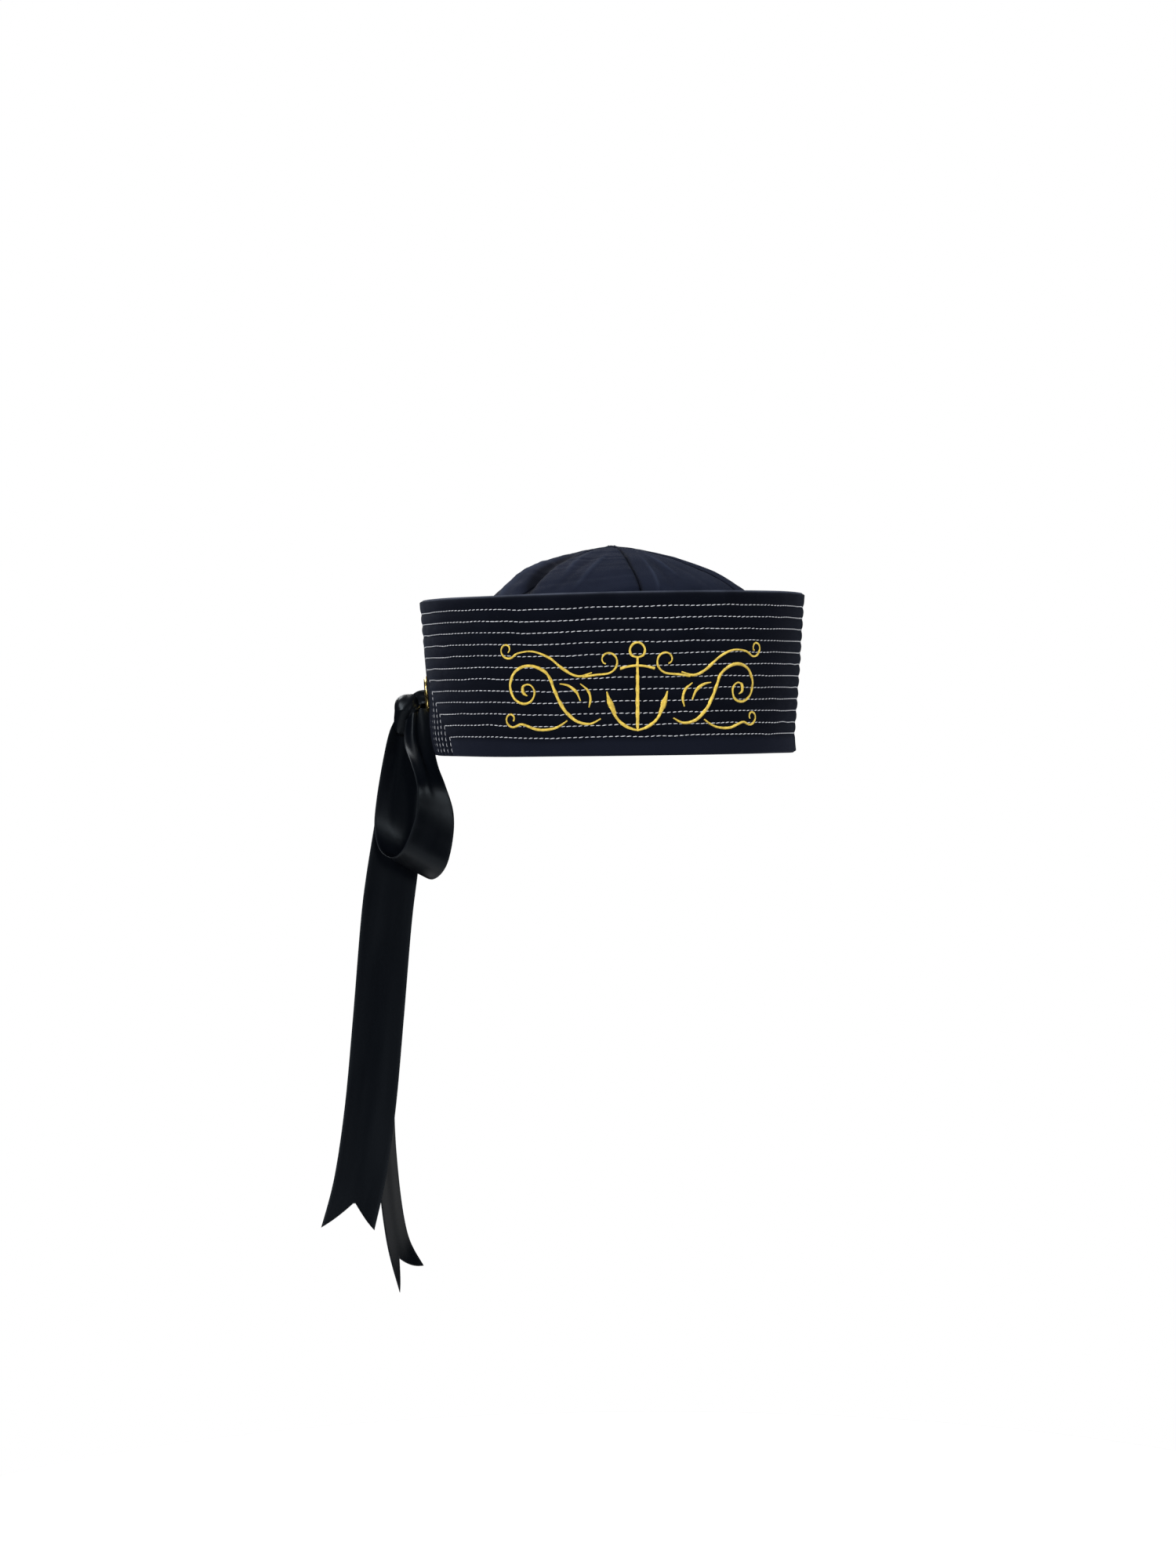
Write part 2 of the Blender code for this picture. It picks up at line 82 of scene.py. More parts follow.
BRIM_FINE_STEP = 0.95 * MM  # beside the strip's ends
SLIT_TURN = -118.0
SLIT_WIDTH = 3.0 * MM

# Quilting: rows of topstitching that run round the strip's two ends and its top.
ROW_COUNT = 12
ROW_FIRST = 6.6 * MM
ROW_PITCH = 5.73 * MM
END_FIRST = 14.0 * MM
END_PITCH = 5.6 * MM
ROW_SAMPLES = 7
VALLEY_DEPTH = 0.5 * MM
VALLEY_WIDTH = 0.95 * MM
PUFF_HEIGHT = 0.14 * MM
PUCKER_HEIGHT = 0.09 * MM
PUCKER_LENGTH = 4.5 * MM
PUCKER_ROW_SHIFT = 7.3  # sets each row's puckers apart from the next row's
DRIFT_HEIGHT = 0.16 * MM
DRIFT_LENGTH = 26.0 * MM
DRIFT_RISE = 30.0 * MM
INNER_RELIEF = 0.8  # the relief on the inner face is this share of the outer one
ROW_WAVE = 0.4 * MM
ROW_WAVE_LENGTH = 42.0 * MM
ROW_SAG = 0.8 * MM  # the rows sag by this much beside one turn
ROW_SAG_TURN = -32.0
ROW_SAG_SPREAD = 24.0
STITCH_SPACING = 2.92 * MM
STITCH_LENGTH = 1.48 * MM
STITCH_WIDTH = 0.42 * MM
STITCH_SLANT = 5.0
STITCH_LOWEST = 2.2 * MM
CLIMB_START = 2.3 * MM  # where a row starts up beside the strip's end
GUIDE_STEP = 0.9 * MM
SIDE_STRAY = 0.2 * MM  # how far the machine strays beside a row that climbs
SIDE_STRAY_LENGTH = 7.0 * MM
HEIGHT_STRAY = 0.22 * MM  # and over or under a level one
HEIGHT_STRAY_LENGTH = 9.0 * MM

# Threads, of the topstitching and of the ornament.
THREAD_ARCH = 2.4  # how flat a thread's arch is between its ends
THREAD_SINK = 0.42  # how deep its ends are pulled down, in widths
THREAD_TAPER = 0.45  # and the share of its width that they lose

# Eyelets.
EYELET_TURNS = {"front": -99.0, "rear": -137.0}
EYELET_HEIGHT = 31.0 * MM
EYELET_BORE = 5.2 * MM
EYELET_BARREL = 6.0 * MM
EYELET_FLANGE = 9.4 * MM
EYELET_SIDES = 96
EYELET_LIP = (0.05, 0.2)  # reach past the bore and height, where the profile starts
EYELET_DOME_FOOT = 0.35 * MM
EYELET_DOME_RISE = 1.15 * MM
EYELET_DOME_ANGLES = range(170, -61, -14)
EYELET_FILLET = 0.4 * MM  # between the flange and the barrel
EYELET_FILLET_HEIGHT = 0.12 * MM
EYELET_BARREL_INSET = 0.2 * MM
EYELET_INNER_GAP = 0.3 * MM
EYELET_ROLL_MARGIN = 1.0 * MM
EYELET_ROLL_RISE = 0.55 * MM
EYELET_ROLL_ANGLES = range(60, -181, -20)

# Crown: gores, with a seam allowance that is turned in.
CROWN_THICKNESS = 0.9 * MM
CROWN_DEPTH_RATIO = 1.06
CROWN_TURN = 0.0
GORE_COUNT = 6
GORE_COLUMNS = 72
GORE_ROWS = 100
GORE_TUCK = (4.0, 2.4, 1.0)  # how far in the points of the seam allowance lie
TUCK_FADE_REACH = 30.0 * MM  # nearer the top than this, the allowance gets narrower
SEAM_CROWDING = 0.25  # how much the columns crowd towards the seams
WIDEST_GAP = 0.4  # radians, for near the top, where a gore has no width
WIDEST_FOLD = 0.3
GIRTH_ROW = 10  # the row of points at which the twill's width is measured
TWILL_STEP = 0.2  # from one gore to the next, the twill goes on this far along, in metres

# The crown's seams, and the wear, painted highlight and painted shade of its cloth.
SEAM_DIP = 0.9 * MM
SEAM_DIP_SPREAD = 7.0
SEAM_HALF_GAP = 0.45 * MM
SEAM_CLOSED_GAP = 0.08 * MM
SEAM_OPEN_DEPTH = 2.0 * MM
SEAM_FOLD = 1.6 * MM  # the turned-in edges bend this far to one side, so no light comes through
SEAM_FOLD_DEPTH = 1.5 * MM
SEAM_FOLD_START = 0.67  # the share of that depth at which the bend starts
SEAM_PINCH = 0.8 * MM
SEAM_PINCH_WIDTH = 1.2 * MM
SEAM_SWING = 8.0  # the seams swing by this turn where they meet
SEAM_SWING_START = 7.6  # they start to at this place on the profile
SEAM_SWING_REACH = 4.4
SEAM_SHADE = 1.3
SEAM_SHADE_WIDTH = 0.5 * MM
SEAM_SHADE_TUCK = 0.4  # how fast that painted shade fades inside the seam
CREASE_UNIT = 0.6 * MM  # in these, a crease's height sets its wear and painted highlight, and its depth its painted shade
RIDGE_START = 0.2
RIDGE_WEAR_AND_HIGHLIGHT = 0.5
HOLLOW_SHADE = 1.5
HOLLOW_DEPTH = 2.2
HOLLOW_FALLOFF = 1.3

# The crown's top and its relief.
NUB_HEIGHT = 0.9 * MM
NUB_REACH = 2.4 * MM
CROWN_TOP_PLACE = 11.84
DENT_FADE_HEIGHT = 40.0 * MM
DENT_FADE_REACH = 20.0 * MM
WAVE_HEIGHT = 0.30 * MM
WAVE_LENGTH = 15.0 * MM
WAVE_CLIMB = 0.9  # waves for each row of the profile
CRINKLE_HEIGHT = 0.09 * MM
CRINKLE_LENGTH = 5.0 * MM
CRINKLE_CLIMB = 2.2
CROWN_NOISE_START = 40.0  # where on its lattice that relief starts
CREASE_START = 0.1  # a crease is this far into its rise at its upper end
CREASE_FULLNESS = 0.8
PLACE_STEP = 0.05  # to either side, for the slope at a place

CROWN_PROFILE = (
    # height, reach, shift
    (1.0, 87.5, 0.0),
    (18.0, 86.0, 0.3),
    (36.0, 83.2, 0.8),
    (52.0, 79.0, 1.6),
    (66.0, 73.8, 2.6),
    (76.0, 68.8, 3.4),
    (83.0, 62.6, 3.6),
    (89.4, 53.2, 3.0),
    (94.3, 43.6, 2.2),
    (98.5, 32.8, 1.8),
    (101.8, 21.6, 1.3),
    (104.2, 11.0, 0.6),
    (104.8, 0.0, 0.2),
)
LAST_PLACE = len(CROWN_PROFILE) - 1
CROWN_DENTS = (
    # turn, spread, height, reach, depth
    (-60.0, 9.0, 88.0, 18.0, 1.6),
    (-100.0, 24.0, 84.0, 12.0, 2.0),
    (-80.0, 14.0, 90.0, 14.0, -0.8),
    (28.0, 12.0, 92.0, 16.0, -0.9),
    (84.0, 26.0, 86.0, 14.0, -0.5),
    (150.0, 20.0, 90.0, 16.0, 1.4),
    (-160.0, 16.0, 88.0, 16.0, 1.2),
)
# Soft creases that run down from the top of the crown. Places count rows of the profile.
CROWN_CREASES = (
    # upper turn, upper place, lower turn, lower place, width, height
    (13.6, 9.2, 6.8, 5.2, 1.0, 0.7),
    (24.0, 9.6, 22.4, 6.6, 1.0, 0.8),
    (19.0, 9.4, 15.0, 5.4, 2.2, -0.5),
    (31.0, 9.6, 37.0, 5.4, 2.6, -0.4),
    (-20.0, 9.6, -31.0, 5.6, 1.6, 0.6),
    (-29.0, 9.6, -40.0, 5.6, 2.6, -0.5),
    (-45.0, 10.2, -38.0, 6.6, 1.8, 0.5),
    (-73.0, 9.8, -53.0, 5.0, 4.8, -2.8),
    (-92.0, 9.6, -72.0, 5.0, 4.0, 1.4),
    (50.0, 10.4, 60.0, 5.0, 3.2, -0.8),
    (64.0, 10.2, 73.0, 5.0, 2.4, 0.5),
    (92.0, 9.4, 101.0, 5.0, 2.4, 0.5),
    (112.0, 9.4, 108.0, 5.0, 2.2, -0.4),
    (128.0, 9.2, 140.0, 4.6, 1.8, 0.6),
    (166.0, 9.6, 158.0, 5.0, 1.8, 0.6),
    (-168.0, 9.4, -157.0, 5.0, 2.0, 0.6),
    (-132.0, 9.2, -140.0, 5.0, 1.8, 0.5),
    (-108.0, 9.0, -104.0, 5.2, 2.0, -0.5),
)

# The bow, in its own frame from the knot's middle: across towards the cap, away to the back, up.
BOW_TURN = -9.0
KNOT_PLACE = (-106.0, 4.0, 23.0)

# The knot, in millimetres: a squarish ball whose lower half is drawn in and down.
KNOT_RADII = (6.7, 7.2, 8.8)
KNOT_ROWS = 84
KNOT_COLUMNS = 96
KNOT_POLE = 0.012  # the angle that its first and last rows keep from the poles
KNOT_SQUARENESS = 3.0
KNOT_NARROWING = 0.3  # its foot is narrower by this share
KNOT_FLATTENING = 0.5
KNOT_FOOT = (-3.4, 1.8, -3.6)  # and drawn this far across, away and up
KNOT_TOP_LEAN = 0.25  # its top leans away by this share of its height
KNOT_TOP_FLAT = 0.94
KNOT_TOP_SLANT = 0.006
KNOT_FOLD_HEIGHT = -3.0  # under this height the folds run straight down
KNOT_FOLD_SLANT = 0.4
KNOT_FOLD_BEND = 16.0
KNOT_FOLD_DEPTH = 0.55
KNOT_FOLD_WIDTH = 1.3
KNOT_FOLD_PLACE = -0.4
KNOT_RIPPLE = 0.10
KNOT_RIPPLE_START = 0.6
KNOT_CRINKLE = 0.07
KNOT_CRINKLE_RATES = (2, 3)  # for each radian round it and down it

# The ribbons. Their waver and their steps are in millimetres.
RIBBON_THICKNESS = 0.36 * MM
RIBBON_COLUMNS = 26
RIBBON_STEP = 1.1
RIBBON_WIDTH = 25.0 * MM
SELVAGE_WIDTH = 0.9 * MM
WAVER_HEIGHT = 0.25
WAVER_ACROSS = 3.0
WAVER_ALONG = 0.4
NOTCH_CURVE = 0.9  # how nearly straight a swallow-tail's edges are

NEAR_LOOP = (
    # left (across, away, up), right (across, away, up), gather
    (0.0, -4.0, 0.0, 10.6, -4.5, 1.4, 1.0),
    (-1.4, -7.0, -8.0, 11.9, -6.8, -5.5, 1.5),
    (-1.2, -12.0, -16.0, 13.0, -10.8, -15.2, 1.4),
    (2.8, -22.6, -26.0, 16.0, -16.8, -28.0, 0.8),
    (5.6, -28.8, -36.4, 19.5, -19.9, -37.9, 0.3),
    (5.7, -28.8, -47.3, 23.3, -18.0, -51.8, 0.0),
    (3.5, -27.4, -58.0, 22.9, -17.2, -65.7, 0.0),
    (-1.8, -24.6, -70.2, 19.2, -15.6, -79.6, 0.0),
    (-8.3, -14.0, -74.9, 12.1, -6.0, -86.3, 0.0),
    (-15.0, -1.0, -71.2, 4.7, 4.0, -82.2, 0.0),
    (-17.8, 4.6, -60.5, 2.2, 6.4, -70.9, 0.0),
    (-16.7, 6.2, -46.0, 3.2, 7.0, -55.4, 0.2),
    (-12.6, 3.0, -23.2, 5.3, 7.0, -30.3, 0.7),
    (-9.2, 1.0, -9.9, 5.7, 3.0, -10.1, 1.0),
    (-5.0, 0.0, -2.0, 4.0, 1.0, -1.0, 0.8),
)
FAR_LOOP = (
    (-5.0, 5.0, -1.0, 3.0, 5.0, -1.0, 0.8),
    (-8.0, 12.0, -8.0, 5.0, 14.0, -8.0, 1.2),
    (-12.0, 19.0, -22.0, 8.0, 23.0, -22.0, 0.8),
    (-15.0, 23.0, -38.0, 8.5, 28.0, -38.0, 0.3),
    (-16.5, 26.0, -54.0, 7.5, 31.0, -56.0, 0.0),
    (-16.5, 33.0, -66.0, 6.5, 38.0, -69.0, 0.0),
    (-15.5, 43.0, -65.0, 7.0, 48.0, -68.0, 0.0),
    (-14.5, 49.0, -53.0, 8.5, 54.0, -55.0, 0.0),
    (-13.5, 47.0, -38.0, 9.0, 51.0, -39.0, 0.2),
    (-11.0, 36.0, -20.0, 8.0, 39.0, -20.0, 0.6),
    (-7.5, 20.0, -4.0, 5.0, 22.0, -4.0, 1.0),
    (-4.0, 5.0, 1.5, 3.0, 5.0, 1.5, 0.8),
)
FRONT_TAIL = (
    (-4.0, 1.0, -4.0, 4.0, 4.0, -4.0, 0.8),
    (-9.0, 5.0, -13.0, 7.0, 9.0, -13.0, 1.0),
    (-12.0, 7.5, -23.3, 9.5, 12.0, -23.3, 0.6),
    (-14.5, 8.5, -38.3, 9.0, 13.0, -38.3, 0.2),
    (-18.0, 8.5, -58.4, 7.3, 13.0, -58.4, 0.0),
    (-22.8, 9.0, -86.3, 3.3, 13.0, -86.3, 0.0),
    (-25.9, 10.0, -110.4, 0.2, 13.0, -110.4, 0.0),
    (-30.4, 11.0, -158.8, -4.3, 13.0, -158.8, 0.0),
    (-34.9, 10.4, -203.0, -8.7, 12.4, -203.0, 0.0),
    (-40.5, 7.8, -239.3, -14.0, 9.8, -239.3, 0.0),
    (-47.3, 5.0, -264.7, -20.3, 7.0, -266.6, 0.0),
)
BACK_TAIL = (
    (-3.0, 4.0, -4.0, 4.0, 6.0, -4.0, 0.8),
    (-7.0, 8.5, -13.0, 6.0, 13.0, -13.0, 1.0),
    (-10.0, 12.0, -26.0, 7.5, 18.0, -26.0, 0.6),
    (-13.5, 13.5, -44.0, 7.5, 20.0, -44.0, 0.2),
    (-15.0, 14.0, -66.0, 5.0, 22.0, -66.0, 0.0),
    (-17.5, 15.0, -100.0, 0.5, 27.0, -100.0, 0.0),
    (-19.0, 16.0, -150.0, -6.5, 34.0, -150.0, 0.0),
    (-19.5, 17.5, -200.0, -10.8, 38.5, -200.0, 0.0),
    (-18.2, 18.0, -240.0, -9.5, 40.5, -240.0, 0.0),
    (-14.3, 18.0, -274.8, -5.0, 41.0, -273.0, 0.0),
    (-8.0, 18.0, -300.3, 3.3, 39.0, -289.8, 0.0),
)
RIBBONS = (
    # piece, table, flat length, swallow-tail depth and where across its notch is
    ("ribbon_loop_near", NEAR_LOOP, 195.0, 0.0, 0.5),
    ("ribbon_loop_far", FAR_LOOP, 165.0, 0.0, 0.5),
    ("ribbon_tail_front", FRONT_TAIL, 268.0, 15.5, 0.5),
    ("ribbon_tail_back", BACK_TAIL, 302.0, 17.0, 0.36),
)
# How far each ribbon's pleats stand out across its width, in even steps from its left edge.
PLEATS = {
    "ribbon_loop_near": (1.1, 0.5, -0.5, -0.8, 0.2, 0.35, 0.3, 0.35, 0.4),
    "ribbon_loop_far": (-0.5, 0.9, -0.6, -0.9, 0.7, 0.9, -0.6, 0.5, -0.2),
    "ribbon_tail_front": (-0.4, 0.8, -0.7, -0.4, 0.8, -0.6, 0.5, 0.4, -0.5),
    "ribbon_tail_back": (-0.4, 0.6, 0.8, -0.8, -0.4, 0.7, -0.4, 0.5, -0.3),
}

LACING = (
    # turn, out, height, width, thick
    (-101.0, 9.0, 26.0, 7.6, 2.6),
    (-99.8, 5.0, 29.0, 7.4, 2.6),
    (-99.1, 2.0, 29.9, 7.0, 2.6),
    (-99.0, -1.2, 29.9, 7.0, 2.4),
    (-99.5, -3.8, 30.2, 7.0, 2.0),
    (-101.2, -5.9, 30.5, 8.0, 1.6),
    (-104.5, -6.5, 30.5, 10.5, 1.4),
    (-111.0, -6.5, 31.0, 13.0, 1.4),
    (-118.0, -6.5, 31.0, 14.0, 1.4),
    (-125.0, -6.5, 31.0, 13.0, 1.4),
    (-131.5, -6.5, 30.5, 10.5, 1.4),
    (-134.8, -5.9, 30.5, 8.0, 1.6),
    (-136.5, -3.8, 30.2, 7.0, 2.0),
    (-137.0, -1.2, 29.9, 7.0, 2.4),
    (-136.6, 2.2, 29.9, 7.0, 2.6),
    (-134.6, 4.6, 29.8, 8.4, 2.4),
    (-129.0, 4.8, 29.6, 9.6, 2.2),
    (-120.0, 4.2, 29.0, 10.0, 2.2),
    (-111.0, 5.2, 28.0, 9.2, 2.4),
    (-104.5, 9.0, 26.5, 8.0, 2.6),
)
LACING_THICKNESS = 0.3 * MM
LACING_COLUMNS = 44
LACING_STEP = 0.8
LACING_SQUEEZED = 7.0  # the width at which the ribbon lies in three layers
LACING_OPENING = 30.0  # how much wider it is where one layer is left
LACING_SIDE_MARGIN = 0.2
LACING_LAYER_MARGIN = 0.4
LACING_OVERLAP = 0.06
LACING_CRINKLE = 0.12
LACING_CRINKLE_RATE = 2.5

# The ornament on the front: an anchor between two scrolls. A stroke is a table of places along the
# brim and up it from the ornament's middle, with the stroke's width there.
ORNAMENT_TURN = -2.6
ORNAMENT_HEIGHT = 33.5 * MM
ANCHOR_STROKES = (
    # x, y, width
    ((0.0, 14.0, 1.2), (0.0, 4.0, 1.7), (0.0, -8.0, 2.1), (0.0, -16.0, 2.0), (0.0, -21.5, 1.0)),
    ((-8.4, 8.6, 1.6), (-4.4, 9.6, 1.1), (0.0, 10.0, 1.2), (4.4, 9.6, 1.1), (8.4, 8.6, 1.6)),
    ((0.0, 14.0, 0.9), (-2.8, 15.0, 1.1), (-3.7, 17.8, 1.2), (-2.2, 20.4, 1.1), (0.0, 21.2, 1.1),
     (2.2, 20.4, 1.1), (3.7, 17.8, 1.2), (2.8, 15.0, 1.1), (0.0, 14.0, 0.9)),
)
SIDE_STROKES = (
    # path, then the volute that ends it: its middle, radii, turns and widths
    # anchor arm and fluke
    (((0.6, -21.2, 1.0), (5.4, -19.6, 1.6), (10.0, -15.8, 1.6), (13.0, -10.6, 1.2),
      (14.2, -6.0, 0.8)), None),
    (((11.0, -13.0, 0.6), (12.9, -9.8, 3.6), (14.2, -6.2, 2.4), (15.2, -2.6, 0.6)), None),
    # the long scroll
    (((18.6, -15.6, 0.7), (24.4, -18.0, 1.2), (31.4, -16.2, 1.8), (37.2, -10.6, 2.0),
      (41.2, -2.8, 1.9)), (57.0, -1.2, 14.2, 2.8, 152.0, -250.0, 1.7, 0.8)),
    # the curl beside the ring, and the scroll over it
    (((27.0, 4.8, 1.2), (21.6, 5.6, 1.2)), (14.8, 12.6, 6.6, 1.8, -80.0, -420.0, 1.1, 0.7)),
    (((22.6, 6.8, 0.7), (29.4, 5.2, 1.3), (36.4, 8.4, 1.6), (43.4, 14.0, 1.3), (52.0, 17.4, 1.0),
      (60.4, 16.8, 0.9)), (67.0, 18.4, 4.6, 1.4, -125.0, 230.0, 1.0, 0.7)),
    # the lower tendril
    (((35.6, -16.4, 0.7), (42.4, -20.0, 1.1), (51.4, -20.6, 1.4), (60.0, -18.0, 1.1)),
     (66.4, -15.4, 4.4, 1.4, -130.0, 210.0, 1.0, 0.7)),
    # leaves
    (((28.6, -6.6, 0.5), (30.4, -2.6, 1.5), (34.2, 0.6, 1.5), (38.6, 1.6, 0.5)), None),
    (((24.2, -9.8, 0.5), (23.4, -5.4, 1.4), (24.8, -1.6, 1.3), (28.2, 1.4, 0.5)), None),
    (((56.6, -4.0, 0.5), (58.8, -2.6, 1.6), (58.6, 0.4, 1.6), (56.0, 1.6, 0.5)), None),
)
GOLD_SPACING = 0.33 * MM
GOLD_WIDTH = 0.42 * MM
GOLD_SLANT = 18.0
GOLD_GUIDE_STEP = 0.5
GOLD_LIFT = 0.02 * MM
GOLD_OVERHANG = 0.12 * MM
STROKE_WEIGHT = 0.48  # the strokes are this share of their tables' widths
VOLUTE_STEP = 24.0  # about the turn from one point of a volute to the next
VOLUTE_TIGHTENING = 0.8

# One seed for each random relief, so that each run gives the same cloth.
LATTICE_SIZE = 97
SEEDS = {
    "brim_pucker": 11,
    "brim_drift": 12,
    "rim_wave": 13,
    "row_wave": 14,
    "side_stray": 21,
    "height_stray": 22,
    "crown_wave": 31,
    "crown_crinkle": 32,
    "ribbon_waver": 41,
    "lacing_crinkle": 51,
    "knot_crinkle": 61,
}

# Twill, satin, brass and thread. A scale counts lumps of noise for each metre, or about that.
TWILL_RIB = 0.62 * MM
RIB_SLOPE = (0.82, 0.57)  # along the cloth and up it
YARN_PITCH = 0.62  # the pitch of the crossing yarns, as a share of the ribs'
YARN_SLOPE = (-0.45, 0.89)
SLUB_SCALE = 260.0
SLUB_SHARE = 0.5  # how far a slub shifts a rib
MOTTLE_SCALE = 55.0
FUZZ_SCALE = 2600.0
LINT_SCALE = 900.0
CROWN_SHEEN = 0.02
BRIM_SHEEN = 0.035
FLOAT_STRETCH = 0.12  # this share of the scale along the ribbon, which draws the floats out
FLOAT_SCALE = 3200.0
CLOUD_SCALE = 90.0
PICK_PITCH = 0.55 * MM
TARNISH_SCALE = 320.0
POLISH_SCALE = 2400.0
THREAD_PLIES = 2.0
THREAD_SCALE = 700.0

# Colours.
# The crown's navies are lighter than the brim's, though both are one twill: painted light, the crown
# lit from above and the brim in shade.
CROWN_NAVY_DARK = (0.0018, 0.0028, 0.0068, 1.0)
CROWN_NAVY_LIGHT = (0.0072, 0.0096, 0.0192, 1.0)
# Pale wear that also paints a highlight on the crown's ridges, and painted shade in its seams and
# hollows.
CROWN_WORN_AND_LIT = (0.022, 0.029, 0.049, 1.0)
CROWN_SHADE = (0.0002, 0.0003, 0.0009, 1.0)
BRIM_NAVY_DARK = (0.0009, 0.0013, 0.0027, 1.0)
BRIM_NAVY_LIGHT = (0.0030, 0.0038, 0.0072, 1.0)
# Pale wear that also paints a highlight on the brim's rims, and the lighter plain band below its
# stitching.
BRIM_WORN_AND_LIT = (0.034, 0.039, 0.054, 1.0)
BRIM_PLAIN_BAND = (0.0072, 0.0088, 0.0160, 1.0)
NAVY_SHEEN = (0.55, 0.66, 1.0, 1.0)
LINT_GREY = (0.10, 0.105, 0.12, 1.0)
SATIN_DARK = (0.0008, 0.0012, 0.0021, 1.0)
SATIN_LIGHT = (0.0019, 0.0026, 0.0040, 1.0)
SATIN_EDGE = (0.006, 0.0075, 0.010, 1.0)
SATIN_GLOSS = (0.80, 0.91, 1.0, 1.0)
BRASS_BRIGHT = (1.0, 0.80, 0.31, 1.0)
BRASS_TARNISHED = (0.82, 0.58, 0.17, 1.0)
PALE_THREAD_DARK = (0.17, 0.18, 0.20, 1.0)
PALE_THREAD_LIGHT = (0.54, 0.55, 0.585, 1.0)
GOLD_THREAD_DARK = (0.27, 0.17, 0.010, 1.0)
GOLD_THREAD_LIGHT = (0.82, 0.61, 0.09, 1.0)
FLOOR_GREY = (0.55, 0.55, 0.55, 1.0)
WHITE = (1.0, 1.0, 1.0, 1.0)

# The picture: a camera before the cap, at the photo's angle, over a floor far below it.
VIEW_TURN = -9.0
VIEW_DISTANCE = 1950.0 * MM
VIEW_SIDE = -13.8 * MM
VIEW_HEIGHT = 24.4 * MM
VIEW_ROLL = 0.6
VIEW_SPAN = 800.0 * MM
VIEW_SHIFT = -0.05
SENSOR = 36.0
FLOOR_HEIGHT = -0.42
FLOOR_RADIUS = 0.45
FLOOR_DEPTH = 0.02
FLOOR_SIDES = 96
LIGHTS = (
    # name, place and size in metres, power in watts
    ("key_softbox", (-1.6, -1.3, 1.2), 0.8, 52.0),
    ("front_softbox", (0.1, -2.2, 0.5), 0.45, 7.0),
    ("low_side_softbox", (1.78, -1.5, 0.1), 0.4, 9.5),
    ("rear_side_softbox", (1.7, 1.32, -0.2), 1.0, 1.55),
    ("fill_softbox", (1.7, -0.9, 1.2), 0.8, 14.0),
    ("top_softbox", (-0.7, 0.8, 1.6), 0.7, 36.0),
    ("back_softbox", (-0.4, 2.0, 0.9), 1.0, 20.0),
)


# Numbers


def along_rows(rows, places):
    """Values of a table at places between its rows, on a smooth curve through all of them."""
    rows = np.asarray(rows, float)
    places = np.asarray(places, float)
    last = len(rows) - 1
    index = np.clip(places.astype(int), 0, last - 1)
    share = (places - index)[..., None]
    before = rows[np.maximum(index - 1, 0)]
    start = rows[index]
    end = rows[index + 1]
    after = rows[np.minimum(index + 2, last)]
    return 0.5 * (
        2 * start
        + (end - before) * share
        + (2 * before - 5 * start + 4 * end - after) * share**2
        + (3 * start - before - 3 * end + after) * share**3
    )


def lengths_along(points):
    """The length of a line of points up to each of them."""
    steps = np.linalg.norm(np.diff(points, axis=0), axis=1)
    return np.concatenate([[0], np.cumsum(steps)])


def even_places(rows, columns, step):
    """Places along a table whose points lie one step apart, measured on the given columns."""
    dense = np.linspace(0, len(rows) - 1, SAMPLES_PER_ROW * len(rows))
    length = lengths_along(along_rows(rows, dense)[:, columns])
    count = max(int(round(length[-1] / step)), 2)
    return np.interp(np.linspace(0, length[-1], count + 1), length, dense)


def bump(distance):
    """A smooth hump, 1 in the middle and 0 from a distance of 1 on."""
    return 0.5 + 0.5 * np.cos(np.pi * np.minimum(np.abs(distance), 1.0))


def turn_between(turn, other):
    """The signed angle from one turn to another, the short way round."""
    return (turn - other + 180.0) % 360.0 - 180.0


def cloth_noise(across, along, relief):
    """Smooth random values from -1 to 1 over a plane, one lattice point for each whole number."""
    lattice = np.random.default_rng(SEEDS[relief]).uniform(-1, 1, (LATTICE_SIZE, LATTICE_SIZE))
    column = np.floor(across).astype(int)
    row = np.floor(along).astype(int)
    right = across - column
    up = along - row
    right = right * right * (3 - 2 * right)
    up = up * up * (3 - 2 * up)
    beside = (column + 1) % LATTICE_SIZE
    column = column % LATTICE_SIZE
    above = (row + 1) % LATTICE_SIZE
    row = row % LATTICE_SIZE
    low = lattice[row, column] * (1 - right) + lattice[row, beside] * right
    high = lattice[above, column] * (1 - right) + lattice[above, beside] * right
    return low * (1 - up) + high * up


def rounded(distance, radius):
    """The half thickness of a round edge at a distance in from it, as a share of the full one."""
    share = np.clip(distance / radius, 0.0, 1.0)
    return np.sqrt(1 - (1 - share) ** 2)


def unit(vectors):
    return vectors / np.maximum(np.linalg.norm(vectors, axis=-1, keepdims=True), 1e-12)


def grid_normals(points):
    """Normals of a grid of points, along the cross product of its column and row directions."""
    return unit(np.cross(np.gradient(points, axis=1), np.gradient(points, axis=0)))


# Meshes


def mesh_from_faces(name, points, faces, uv):
    """A mesh whose faces point out of the body that they close."""
    corners = points[faces[:, :3]]
    if np.linalg.det(corners - points.mean(0)).sum() < 0:
        faces = faces[:, ::-1]
    mesh = bpy.data.meshes.new(name)
    sizes = np.where(faces[:, 0] == faces[:, -1], 3, 4)
    mesh.from_pydata(points.tolist(), [], [row[:size].tolist() for row, size in zip(faces, sizes)])
    layer = mesh.uv_layers.new(name="UVMap")
    loops = np.empty(len(mesh.loops), np.int32)
    mesh.loops.foreach_get("vertex_index", loops)
    layer.data.foreach_set("uv", uv[loops].astype(np.float32).ravel())
    mesh.shade_smooth()
    return mesh


def grid_faces(rows, columns, closed=False):
    """Faces over a grid whose last column joins its first, and its last row too where it is closed."""
    row, column = np.mgrid[0 : rows if closed else rows - 1, 0:columns]
    below = (row + 1) % rows
    beside = (column + 1) % columns
    corners = [row * columns + column, row * columns + beside]
    corners += [below * columns + beside, below * columns + column]
    return np.stack(corners, axis=-1).reshape(-1, 4)


